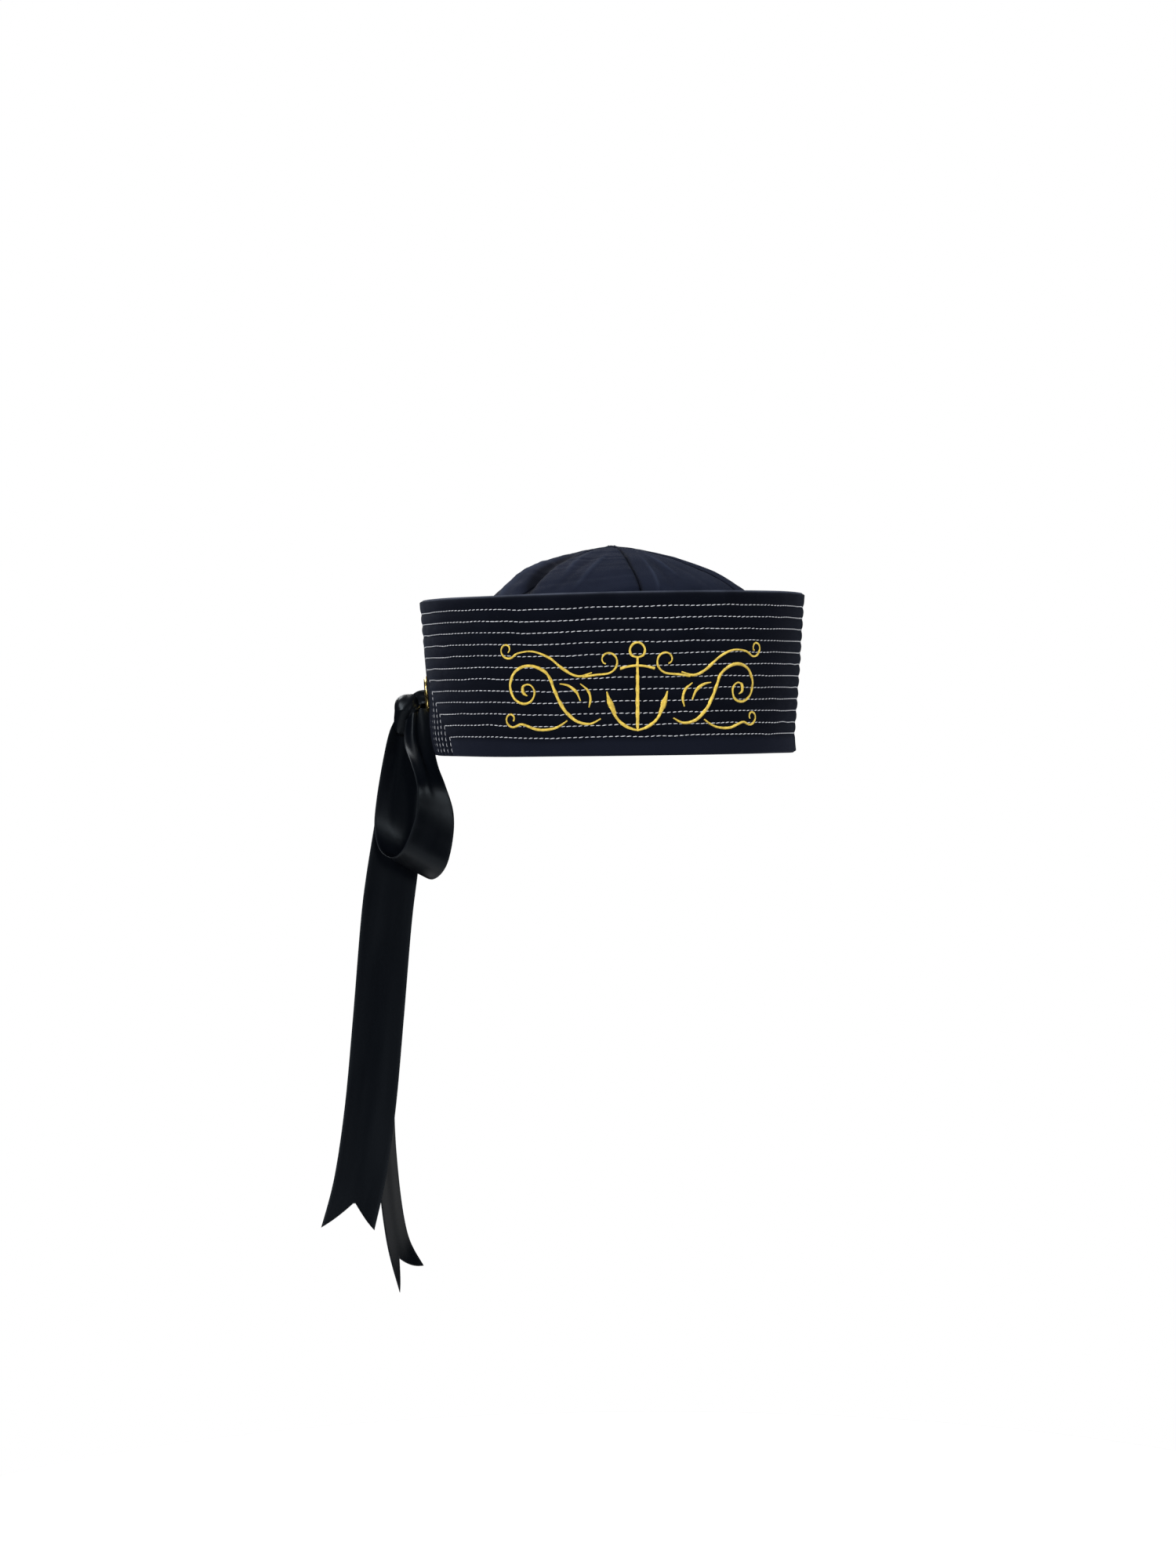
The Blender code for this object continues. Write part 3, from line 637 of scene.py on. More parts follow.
def wall_mesh(name, middle, thickness, uv, front=0.0, back=0.0):
    """A closed wall of cloth round a grid of points, with relief on its front and its back."""
    rows, columns = middle.shape[:2]
    normals = grid_normals(middle)
    thickness = np.broadcast_to(thickness, (rows, columns))
    half = thickness[..., None] / 2
    front = middle + normals * (half + np.broadcast_to(front, (rows, columns))[..., None])
    back = middle - normals * (half + np.broadcast_to(back, (rows, columns))[..., None])
    sides = []
    for edge, inner in ((columns - 1, columns - 2), (0, 1)):
        outward = unit(middle[:, edge] - middle[:, inner])
        sides.append((front[:, edge] + back[:, edge]) / 2 + outward * half[:, edge] * SIDE_BULGE)
    ring = np.concatenate([front, sides[0][:, None], back[:, ::-1], sides[1][:, None]], axis=1)
    ring_uv = np.concatenate([uv, uv[:, -1:], uv[:, ::-1], uv[:, :1]], axis=1)
    around = 2 * columns + 2
    faces = [grid_faces(rows, around)]
    # Each end is closed between the front and the back, with a triangle at each side.
    place = np.arange(columns - 1)
    across = 2 * columns - place
    cap = np.stack([place + 1, place, across, across - 1], axis=-1)
    right = np.array([[columns, columns - 1, columns + 1, columns]])
    left = np.array([[around - 1, 2 * columns, 0, around - 1]])
    ends = np.concatenate([cap, right, left])
    faces.append(ends)
    faces.append(ends[:, ::-1] + (rows - 1) * around)
    return mesh_from_faces(name, ring.reshape(-1, 3), np.concatenate(faces), ring_uv.reshape(-1, 2))


def add_piece(name, mesh, material):
    piece = bpy.data.objects.new(name, mesh)
    bpy.context.scene.collection.objects.link(piece)
    mesh.materials.clear()
    mesh.materials.append(material)
    return piece


def set_attribute(mesh, name, values):
    """A value for each point of a mesh, which its material or its guides read."""
    kind = "FLOAT" if values.ndim == 1 else "FLOAT_VECTOR"
    key = "value" if values.ndim == 1 else "vector"
    attribute = mesh.attributes.new(name, kind, "POINT")
    attribute.data.foreach_set(key, values.astype(np.float32).ravel())


def set_wall_attribute(mesh, name, values):
    """A value for each point of a wall's grid, the same on its front and its back."""
    ring = np.concatenate([values, values[:, -1:], values[:, ::-1], values[:, :1]], axis=1)
    set_attribute(mesh, name, ring.ravel())


# Nodes


def add_node(tree, kind, inputs=(), **settings):
    """A node with its settings, its values and the sockets that lead into it."""
    node = tree.nodes.new(kind)
    for key, value in settings.items():
        setattr(node, key, value)
    for key, value in dict(inputs).items():
        if isinstance(value, bpy.types.NodeSocket):
            tree.links.new(value, node.inputs[key])
        else:
            node.inputs[key].default_value = value
    return node


def result(tree, kind, inputs=(), **settings):
    """The first output of a new node."""
    return add_node(tree, kind, inputs, **settings).outputs[0]


def calculate(tree, operation, first, second=0.0, third=0.0):
    return result(tree, "ShaderNodeMath", {0: first, 1: second, 2: third}, operation=operation)


def blend_colors(tree, share, first, second):
    inputs = {"Factor": share, 6: first, 7: second}
    return add_node(tree, "ShaderNodeMix", inputs, data_type="RGBA").outputs[2]


def new_material(name, **values):
    """A material, its node tree and its shader, with constants set on the shader's own sockets."""
    material = bpy.data.materials.new(name)
    material.use_nodes = True
    tree = material.node_tree
    shader = tree.nodes["Principled BSDF"]
    for key, value in values.items():
        shader.inputs[key.replace("_", " ")].default_value = value
    return material, tree, shader


def noise(tree, vector, scale, detail=2.0, roughness=0.5):
    inputs = {"Vector": vector, "Scale": scale, "Detail": detail, "Roughness": roughness}
    return add_node(tree, "ShaderNodeTexNoise", inputs).outputs["Fac"]


def mesh_value(tree, name):
    """A value that a mesh carries at each of its points."""
    return add_node(tree, "ShaderNodeAttribute", attribute_name=name).outputs["Fac"]


def solid_place(tree):
    return add_node(tree, "ShaderNodeTexCoord").outputs["Object"]


def ramp(tree, value, low, high, start=0.0, end=1.0):
    inputs = {"Value": value, "From Min": low, "From Max": high, "To Min": start, "To Max": end}
    return add_node(tree, "ShaderNodeMapRange", inputs).outputs["Result"]


def waves(tree, coordinate, pitch):
    """A wave from 0 to 1 over a coordinate in metres."""
    angle = calculate(tree, "MULTIPLY", coordinate, 2 * math.pi / pitch)
    return calculate(tree, "MULTIPLY_ADD", calculate(tree, "SINE", angle), 0.5, 0.5)


def cloth_places(tree):
    """The piece's UV map as two lengths in metres, along the cloth and up it."""
    place = add_node(tree, "ShaderNodeUVMap", uv_map="UVMap").outputs["UV"]
    split = add_node(tree, "ShaderNodeSeparateXYZ", {0: place})
    return place, split.outputs[0], split.outputs[1]


def set_bump(tree, shader, height, distance, strength=1.0):
    inputs = {"Height": height, "Distance": distance, "Strength": strength}
    tree.links.new(result(tree, "ShaderNodeBump", inputs), shader.inputs["Normal"])


def slope_over(tree, along, up, slope):
    """How far a place on the cloth lies up a slope over it."""
    return calculate(tree, "MULTIPLY_ADD", along, slope[0], calculate(tree, "MULTIPLY", up, slope[1]))


def make_twill(name, dark, light, sheen, wear_and_highlight, shade_and_plain_band):
    """Cotton twill: slanting ribs of yarn, with slubs, faint mottling and a dry surface.

    It is pale with wear along edges and ridges, which also paints a highlight there. Its second colour
    is painted shade in the crown's seams and hollows, and a lighter plain band on the brim below its
    last row of stitching.
    """
    material, tree, shader = new_material(
        name,
        Roughness=0.85,
        Specular_IOR_Level=0.02,
        Sheen_Weight=sheen,
        Sheen_Roughness=0.38,
        Sheen_Tint=NAVY_SHEEN,
    )
    place, along, up = cloth_places(tree)
    # Ribs slant up to the left, and finer yarns cross them.
    slanted = slope_over(tree, along, up, RIB_SLOPE)
    slubs = noise(tree, place, SLUB_SCALE)
    slanted = calculate(tree, "MULTIPLY_ADD", slubs, SLUB_SHARE * TWILL_RIB, slanted)
    ribs = waves(tree, slanted, TWILL_RIB)
    crossing = slope_over(tree, along, up, YARN_SLOPE)
    yarns = waves(tree, crossing, YARN_PITCH * TWILL_RIB)
    weave = calculate(tree, "MULTIPLY_ADD", yarns, 0.35, calculate(tree, "MULTIPLY", ribs, 0.65))
    # The weave, fuzz and mottling set the tone between the two navies.
    mottle = noise(tree, solid_place(tree), MOTTLE_SCALE, 4.0, 0.6)
    fuzz = noise(tree, place, FUZZ_SCALE)
    tone = calculate(tree, "MULTIPLY_ADD", weave, 0.35, calculate(tree, "MULTIPLY", mottle, 0.5))
    tone = calculate(tree, "MULTIPLY_ADD", fuzz, 0.25, tone)
    color = blend_colors(tree, ramp(tree, tone, 0.25, 0.85), dark, light)
    lint = ramp(tree, noise(tree, place, LINT_SCALE, 3.0, 0.7), 0.70, 0.80)
    color = blend_colors(tree, calculate(tree, "MULTIPLY", lint, 0.35), color, LINT_GREY)
    # Painted shade in the crown's seams and hollows; on the brim, its lighter plain band.
    shade_and_band_share = calculate(tree, "MULTIPLY", mesh_value(tree, "shade_and_plain_band"), 0.5)
    color = blend_colors(tree, shade_and_band_share, color, shade_and_plain_band)
    # Paler with wear along rims and ridges, which also paints a highlight there.
    patchy = ramp(tree, mottle, 0.3, 0.7, 0.4, 1.0)
    wear_and_light_share = calculate(tree, "MULTIPLY", mesh_value(tree, "wear_and_highlight"), patchy)
    color = blend_colors(tree, wear_and_light_share, color, wear_and_highlight)
    tree.links.new(color, shader.inputs["Base Color"])
    height = calculate(tree, "MULTIPLY_ADD", fuzz, 0.4, weave)
    set_bump(tree, shader, height, 0.12 * MM, 0.8)
    return material


def make_satin():
    """Black satin: long floats along the ribbon, a soft gloss and a woven edge."""
    material, tree, shader = new_material(
        "black_satin",
        Roughness=0.3,
        Specular_IOR_Level=0.12,
        Specular_Tint=SATIN_GLOSS,
        Anisotropic=0.4,
    )
    place, along, _ = cloth_places(tree)
    stretched = result(
        tree, "ShaderNodeMapping", {"Vector": place, "Scale": (FLOAT_STRETCH, 1.0, 1.0)}
    )
    floats = noise(tree, stretched, FLOAT_SCALE)
    cloudy = noise(tree, stretched, CLOUD_SCALE, 3.0)
    edge = mesh_value(tree, "selvage")
    picks = waves(tree, along, PICK_PITCH)
    tone = calculate(tree, "MULTIPLY_ADD", floats, 0.4, calculate(tree, "MULTIPLY", cloudy, 0.6))
    color = blend_colors(tree, ramp(tree, tone, 0.3, 0.7), SATIN_DARK, SATIN_LIGHT)
    color = blend_colors(tree, calculate(tree, "MULTIPLY", edge, 0.5), color, SATIN_EDGE)
    tree.links.new(color, shader.inputs["Base Color"])
    rough = ramp(tree, cloudy, 0.3, 0.7, 0.27, 0.35)
    rough = calculate(tree, "MULTIPLY_ADD", edge, 0.2, rough)
    tree.links.new(rough, shader.inputs["Roughness"])
    tangent = result(tree, "ShaderNodeTangent", direction_type="UV_MAP", uv_map="UVMap")
    tree.links.new(tangent, shader.inputs["Tangent"])
    rib = calculate(tree, "MULTIPLY", calculate(tree, "MULTIPLY", picks, edge), 1.5)
    set_bump(tree, shader, calculate(tree, "ADD", floats, rib), 0.03 * MM, 0.6)
    return material


def make_brass():
    """Polished brass, with fine turning marks and a little tarnish."""
    material, tree, shader = new_material("brass", Metallic=1.0, Roughness=0.24)
    solid = solid_place(tree)
    tarnish = noise(tree, solid, TARNISH_SCALE, 4.0, 0.6)
    color = blend_colors(tree, ramp(tree, tarnish, 0.35, 0.75), BRASS_BRIGHT, BRASS_TARNISHED)
    tree.links.new(color, shader.inputs["Base Color"])
    tree.links.new(ramp(tree, tarnish, 0.3, 0.8, 0.18, 0.38), shader.inputs["Roughness"])
    set_bump(tree, shader, noise(tree, solid, POLISH_SCALE), 0.01 * MM, 0.5)
    return material


def make_thread(name, dark, light, roughness, twists):
    """Sewing thread: two plies twisted together, with painted shade between them."""
    material, tree, shader = new_material(
        name, Roughness=roughness, Specular_IOR_Level=0.5, Sheen_Weight=0.1
    )
    around = calculate(tree, "MULTIPLY", mesh_value(tree, "around"), THREAD_PLIES)
    twist = calculate(tree, "MULTIPLY_ADD", mesh_value(tree, "along"), twists, around)
    plies = waves(tree, twist, 1.0)
    uneven = noise(tree, solid_place(tree), THREAD_SCALE)
    # The plies also set the tone: painted shade in the grooves between them.
    tone = calculate(tree, "MULTIPLY_ADD", plies, 0.45, calculate(tree, "MULTIPLY", uneven, 0.7))
    color = blend_colors(tree, ramp(tree, tone, 0.2, 0.85), dark, light)
    tree.links.new(color, shader.inputs["Base Color"])
    set_bump(tree, shader, plies, 0.06 * MM, 0.7)
    return material


# Threads that follow a line


def thread_tree():
    """Lays raised threads at even steps along guide lines, with their ends pulled into the cloth.

    A guide's points say which way their thread lies (aim), which way is up (out) and its length (run).
    """
    tree = bpy.data.node_groups.new("thread_runs", "GeometryNodeTree")
    face = tree.interface
    face.new_socket("Guides", in_out="INPUT", socket_type="NodeSocketGeometry")
    for label in ("Spacing", "Thread Width", "Rise", "Uneven Turn", "Uneven Length"):
        face.new_socket(label, in_out="INPUT", socket_type="NodeSocketFloat")
    for label in ("Seed", "Sides", "Steps"):
        face.new_socket(label, in_out="INPUT", socket_type="NodeSocketInt")
    face.new_socket("Finish", in_out="INPUT", socket_type="NodeSocketMaterial")
    face.new_socket("Threads", in_out="OUTPUT", socket_type="NodeSocketGeometry")
    given = tree.nodes.new("NodeGroupInput").outputs

    thread = one_thread(tree, given)
    runs = result(tree, "GeometryNodeMeshToCurve", {0: given["Guides"]})
    runs = result(
        tree,
        "GeometryNodeResampleCurve",
        {"Curve": runs, "Length": given["Spacing"]},
        mode="LENGTH",
    )
    facing = result(
        tree,
        "FunctionNodeAxesToRotation",
        {"Primary Axis": guide_value(tree, "out"), "Secondary Axis": guide_value(tree, "aim")},
        primary_axis="Z",
        secondary_axis="X",
    )
    swing = random_around_zero(tree, given["Uneven Turn"], given["Seed"])
    swing = result(tree, "ShaderNodeCombineXYZ", {"Z": swing})
    swing = result(tree, "FunctionNodeEulerToRotation", {0: swing})
    facing = result(
        tree,
        "FunctionNodeRotateRotation",
        {"Rotation": facing, "Rotate By": swing},
        rotation_space="LOCAL",
    )
    next_seed = calculate(tree, "ADD", given["Seed"], 1.0)
    longer = random_around_zero(tree, given["Uneven Length"], next_seed)
    run = guide_value(tree, "run", "FLOAT")
    length = calculate(tree, "MULTIPLY", run, calculate(tree, "ADD", longer, 1.0))
    width = given["Thread Width"]
    size = result(tree, "ShaderNodeCombineXYZ", {"X": length, "Y": width, "Z": width})
    laid = result(
        tree,
        "GeometryNodeInstanceOnPoints",
        {"Points": runs, "Instance": thread, "Rotation": facing, "Scale": size},
    )
    laid = result(tree, "GeometryNodeRealizeInstances", {0: laid})
    laid = result(tree, "GeometryNodeSetShadeSmooth", {0: laid})
    laid = result(tree, "GeometryNodeSetMaterial", {0: laid, "Material": given["Finish"]})
    add_node(tree, "NodeGroupOutput", {0: laid})
    return tree


def one_thread(tree, given):
    """One thread of length 1 and width 1, arched up between its sunken ends."""
    share = tree.nodes.new("GeometryNodeSplineParameter").outputs["Factor"]
    line = result(tree, "GeometryNodeCurvePrimitiveLine", {"Start": (-0.5, 0, 0), "End": (0.5, 0, 0)})
    line = result(tree, "GeometryNodeResampleCurve", {"Curve": line, "Count": given["Steps"]})
    from_middle = calculate(tree, "MULTIPLY_ADD", share, 2.0, -1.0)
    flat = calculate(tree, "POWER", calculate(tree, "ABSOLUTE", from_middle), THREAD_ARCH)
    arch = calculate(tree, "MULTIPLY", calculate(tree, "SUBTRACT", 1.0, flat), given["Rise"])
    lift = calculate(tree, "SUBTRACT", arch, THREAD_SINK)
    lift = result(tree, "ShaderNodeCombineXYZ", {"Z": lift})
    line = result(tree, "GeometryNodeSetPosition", {"Geometry": line, "Offset": lift})
    taper = calculate(tree, "MULTIPLY_ADD", flat, -THREAD_TAPER, 1.0)
    line = result(tree, "GeometryNodeSetCurveRadius", {0: line, "Radius": taper})
    circle = result(
        tree, "GeometryNodeCurvePrimitiveCircle", {"Resolution": given["Sides"], "Radius": 0.5}
    )
    # The material reads how far along a thread and round it each of its points is.
    kind = "GeometryNodeStoreNamedAttribute"
    line = result(tree, kind, {0: line, "Name": "along", "Value": share})
    circle = result(tree, kind, {0: circle, "Name": "around", "Value": share})
    swept = {"Curve": line, "Profile Curve": circle, "Fill Caps": True}
    return result(tree, "GeometryNodeCurveToMesh", swept)


def guide_value(tree, name, data_type="FLOAT_VECTOR"):
    """A value that a guide carries at each of its points."""
    kind = "GeometryNodeInputNamedAttribute"
    return result(tree, kind, {"Name": name}, data_type=data_type)


def random_around_zero(tree, spread, seed):
    inputs = {2: calculate(tree, "MULTIPLY", spread, -1.0), 3: spread, "Seed": seed}
    return add_node(tree, "FunctionNodeRandomValue", inputs, data_type="FLOAT").outputs[1]


def lay_threads(name, tree, runs, material, **sizes):
    """Threads along runs of (points, aim, out, run), as one plain mesh."""
    points = np.concatenate([run[0] for run in runs])
    guide = bpy.data.meshes.new(name + "_guide")
    counts = [len(run[0]) for run in runs]
    starts = np.cumsum([0] + counts[:-1])
    edges = [
        (start + place, start + place + 1)
        for start, count in zip(starts, counts)
        for place in range(count - 1)
    ]
    guide.from_pydata(points.tolist(), edges, [])
    for key, index in (("aim", 1), ("out", 2), ("run", 3)):
        set_attribute(guide, key, np.concatenate([run[index] for run in runs]))
    carrier = bpy.data.objects.new(name + "_guide", guide)
    bpy.context.scene.collection.objects.link(carrier)
    modifier = carrier.modifiers.new("threads", "NODES")
    modifier.node_group = tree
    inputs = [item for item in tree.interface.items_tree if item.in_out == "INPUT"]
    sockets = {item.name: item.identifier for item in inputs}
    for label, value in sizes.items():
        modifier[sockets[label.replace("_", " ")]] = value
    modifier[sockets["Finish"]] = material
    bpy.context.view_layer.update()
    seen = carrier.evaluated_get(bpy.context.evaluated_depsgraph_get())
    mesh = bpy.data.meshes.new_from_object(seen)
    bpy.data.objects.remove(carrier)
    mesh.name = name
    piece = bpy.data.objects.new(name, mesh)
    bpy.context.scene.collection.objects.link(piece)
    return piece


# Brim


def brim_height(turn):
    """How high the brim's top is at a turn: a little higher on the side away from the bow."""
    return BRIM_HEIGHT + BRIM_TAPER * np.sin(np.radians(turn))


def lean(height):
    """How far the cap has settled sideways at a height."""
    share = np.clip(height / LEAN_HEIGHT, 0, 1)
    return -LEAN * share * (2 - share)


def brim_point(turn, height, out=0.0):
    """A point on the brim's outer face, or out from it."""
    turn, height, out = np.broadcast_arrays(turn, height, out)
    angle = np.radians(turn)
    share = height / BRIM_HEIGHT
    flare = BRIM_LEAN * share + BRIM_CURL * share * np.abs(share) + out
    swell = SWELL_AT_EDGES + (1 - SWELL_AT_EDGES) * np.sin(np.pi * np.clip(share, 0, 1))
    flare = flare + BRIM_SWELL * swell
    beside = bump((turn - KNOT_TURN) / KNOT_SWELL_SPREAD)
    pressed = beside * bump((height - KNOT_SWELL_HEIGHT) / KNOT_SWELL_HEIGHT)
    flare = flare + KNOT_SWELL * pressed
    across = (BRIM_HALF_WIDTH + flare) * np.sin(angle) + lean(height)
    ahead = -(BRIM_HALF_DEPTH + flare) * np.cos(angle)
    return np.stack([across, ahead, height], axis=-1)


def brim_outward(turn, height):
    """The direction out of the brim's face."""
    along = brim_point(turn + 0.5, height) - brim_point(turn - 0.5, height)
    upward = brim_point(turn, height + MM) - brim_point(turn, height - MM)
    return unit(np.cross(along, upward))


def from_strip_end(turn):
    """The distance along the brim from the nearer end of its strip."""
    return np.abs(turn_between(turn, SLIT_TURN)) * BRIM_ARC - SLIT_WIDTH / 2


def row_sag(turn):
    """How far below their even places the rows of stitching run."""
    wave = ROW_WAVE * cloth_noise(turn * BRIM_ARC / ROW_WAVE_LENGTH, 0 * turn, "row_wave")
    return wave + ROW_SAG * bump((turn - ROW_SAG_TURN) / ROW_SAG_SPREAD)


def row_number(turn, height):
    """How many stitched rows in from the strip's edge a place lies, with the part between rows."""
    top = brim_height(turn)
    depth = (top - height - row_sag(turn)) * BRIM_HEIGHT / top
    from_end = from_strip_end(turn)
    return 1 + np.minimum((depth - ROW_FIRST) / ROW_PITCH, (from_end - END_FIRST) / END_PITCH)


def brim_relief(turn, height):
    """How far the quilted cloth stands out from the brim's plain face."""
    number = row_number(turn, height)
    nearest = np.clip(np.round(number), 1, ROW_COUNT)
    distance = np.abs(number - nearest) * ROW_PITCH
    valley = VALLEY_DEPTH * np.exp(-((distance / VALLEY_WIDTH) ** 1.5))
    puff = PUFF_HEIGHT * np.sin(np.pi * np.clip(number, 0.5, ROW_COUNT + 0.5)) ** 2
    along = turn * BRIM_ARC
    pucker = cloth_noise(along / PUCKER_LENGTH, nearest * PUCKER_ROW_SHIFT + number, "brim_pucker")
    drift = cloth_noise(along / DRIFT_LENGTH, height / DRIFT_RISE, "brim_drift")
    return puff - valley + PUCKER_HEIGHT * pucker + DRIFT_HEIGHT * drift


def brim_depths():
    """How far below the brim's top its rows of points lie: closest at the rims, then in the rows."""
    rim = np.array(RIM_STEPS) * MM
    row_places = np.arange(2, ROW_COUNT * ROW_SAMPLES + 4) / ROW_SAMPLES
    rows = ROW_FIRST + (row_places - 1) * ROW_PITCH
    lower = np.linspace(rows[-1] + MM, BRIM_HEIGHT - LOWER_MARGIN, LOWER_ROWS)
    return np.concatenate([rim, rows, lower, (BRIM_HEIGHT - rim)[::-1]])


def brim_turns():
    """The turns of the brim's columns of points, from one end of its strip to the other."""
    half_span = 180.0 - SLIT_WIDTH / 2 / BRIM_ARC
    stitched = END_FIRST + ROW_COUNT * END_PITCH
    even = np.arange(END_COLUMNS_START, stitched, BRIM_FINE_STEP)
    near = np.concatenate([np.array(END_STEPS) * MM, even])
    ends = half_span - near / BRIM_ARC
    count = int(2 * ends[-1] * BRIM_ARC / BRIM_STEP)
    middle = np.linspace(-ends[-1], ends[-1], count)[1:-1]
    return np.concatenate([-ends, middle, ends[::-1]]) + SLIT_TURN + 180.0


def make_brim(material):
    """The quilted strip, with round rims that are pale with wear and a painted highlight, and rounded
    corners at its two ends.
    """
    depths = brim_depths()
    turn = brim_turns()[:, None]
    top = brim_height(turn)
    from_end = from_strip_end(turn)
    corner = np.clip(1 - from_end / BRIM_CORNER, 0, 1)
    drop = BRIM_CORNER_DROP * (1 - np.sqrt(1 - corner**2))
    height = (top - drop) * (1 - depths / BRIM_HEIGHT)
    wave = cloth_noise(turn * BRIM_ARC / RIM_WAVE_LENGTH, 0 * depths, "rim_wave")
    height = height + RIM_WAVE * wave
    edge = np.minimum(depths, BRIM_HEIGHT - depths)
    round_off = np.minimum(rounded(edge, RIM_RADIUS), rounded(from_end, RIM_RADIUS))
    middle = brim_point(turn, height, -BRIM_THICKNESS / 2)
    uv = np.stack(np.broadcast_arrays(turn * BRIM_ARC, height), axis=-1)
    relief = brim_relief(turn, height) * round_off
    inner = relief * INNER_RELIEF
    mesh = wall_mesh("brim_cloth", middle, BRIM_THICKNESS * round_off, uv, relief, inner)
    # Rims and strip ends are paler with wear, which also paints a highlight on them.
    wear_highlight_top = np.exp(-depths / WEAR_HIGHLIGHT_REACH) + 0 * turn
    wear_highlight_ends = WEAR_HIGHLIGHT_AT_ENDS * np.exp(-from_end / WEAR_HIGHLIGHT_REACH)
    set_wall_attribute(mesh, "wear_and_highlight", np.maximum(wear_highlight_top, wear_highlight_ends))
    # The brim is lighter in its plain band below the last row.
    plain_band = np.clip((row_number(turn, height) - ROW_COUNT) / PLAIN_FADE, 0, 1)
    set_wall_attribute(mesh, "shade_and_plain_band", plain_band)
    return add_piece("brim_cloth", mesh, material)


def stitch_run(number, face):
    """The guide of one stitched row: up beside one strip end, along the brim and down the other."""
    depth = ROW_FIRST + (number - 1) * ROW_PITCH
    half = 180.0 - (END_FIRST + (number - 1) * END_PITCH + SLIT_WIDTH / 2) / BRIM_ARC
    top_share = 1 - depth / BRIM_HEIGHT
    climb = np.arange(CLIMB_START, top_share * BRIM_HEIGHT, GUIDE_STEP)
    level = np.linspace(-half, half, int(2 * half * BRIM_ARC / GUIDE_STEP))
    turn = np.concatenate([np.full_like(climb, -half), level, np.full_like(climb, half)])
    share = climb / BRIM_HEIGHT
    share = np.concatenate([share, np.full_like(level, top_share), share[::-1]])
    length = np.arange(len(turn)) * GUIDE_STEP
    lane = 0 * turn + number
    stray = cloth_noise(length / SIDE_STRAY_LENGTH, lane, "side_stray")
    turn = turn + SIDE_STRAY / BRIM_ARC * stray + SLIT_TURN + 180.0
    height = np.maximum(brim_height(turn) * share - row_sag(turn), STITCH_LOWEST)
    stray = cloth_noise(length / HEIGHT_STRAY_LENGTH, lane, "height_stray")
    height = height + HEIGHT_STRAY * stray
    outward = brim_outward(turn, height)
    relief = brim_relief(turn, height)[:, None]
    if face == "outside":
        points = brim_point(turn, height) + outward * relief
    else:
        points = brim_point(turn, height, -BRIM_THICKNESS) - outward * INNER_RELIEF * relief
        outward = -outward
    tangent = unit(np.gradient(points, axis=0))
    slant = math.radians(STITCH_SLANT)
    aim = tangent * math.cos(slant) + np.cross(outward, tangent) * math.sin(slant)
    return points, aim, outward, np.full(len(points), STITCH_LENGTH)


def make_topstitching(tree, face, material):
    """Every stitched row of one face of the brim."""
    runs = [stitch_run(number, face) for number in range(1, ROW_COUNT + 1)]
    return lay_threads(
        "topstitching_" + face,
        tree,
        runs,
        material,
        Spacing=STITCH_SPACING,
        Thread_Width=STITCH_WIDTH,
        Rise=0.75,
        Uneven_Turn=0.09,
        Uneven_Length=0.1,
        Seed=5,
        Sides=6,
        Steps=6,
    )


# Ornament


def with_volute(path, volute):
    """A stroke's table with the points of the spiral that ends it."""
    if volute is None:
        return path
    x, y, radius, last_radius, turn, last_turn, width, last_width = volute
    share = np.linspace(0, 1, 3 + int(abs(last_turn - turn) / VOLUTE_STEP))
    angle = np.radians(turn + (last_turn - turn) * share)
    reach = radius + (last_radius - radius) * share**VOLUTE_TIGHTENING
    widths = width + (last_width - width) * share
    spiral = np.stack([x + reach * np.cos(angle), y + reach * np.sin(angle), widths], axis=-1)
    return np.concatenate([path, spiral])


def gold_run(stroke, side):
    """The guide of one satin-stitched stroke on the brim, mirrored where side is -1."""
    places = even_places(stroke, [0, 1], GOLD_GUIDE_STEP)
    x, y, width = along_rows(stroke, places).T * MM
    turn = ORNAMENT_TURN + side * x / BRIM_ARC
    height = ORNAMENT_HEIGHT + y
    outward = brim_outward(turn, height)
    points = brim_point(turn, height, GOLD_LIFT)
    tangent = unit(np.gradient(points, axis=0))
    slant = math.radians(GOLD_SLANT)
    aim = np.cross(outward, tangent) * math.cos(slant) + tangent * math.sin(slant)
    return points, aim, outward, STROKE_WEIGHT * width + GOLD_OVERHANG


def make_ornament(tree, material):
    """The anchor and the strokes on both sides of it, in satin stitch."""
    runs = [gold_run(stroke, 1) for stroke in ANCHOR_STROKES]
    for stroke in SIDE_STROKES:
        runs += [gold_run(with_volute(*stroke), side) for side in (-1, 1)]
    return lay_threads(
        "gold_ornament",
        tree,
        runs,
        material,
        Spacing=GOLD_SPACING,
        Thread_Width=GOLD_WIDTH,
        Rise=1.35,
        Uneven_Turn=0.07,
        Uneven_Length=0.08,
        Seed=9,
        Sides=5,
        Steps=6,
    )


# Eyelets


def oval_points(middle, radii, degrees):
    """Points of an eyelet's profile round an oval, as (reach, height)."""
    return [
        (middle[0] + radii[0] * math.cos(angle), middle[1] + radii[1] * math.sin(angle))
        for angle in np.radians(degrees)
    ]


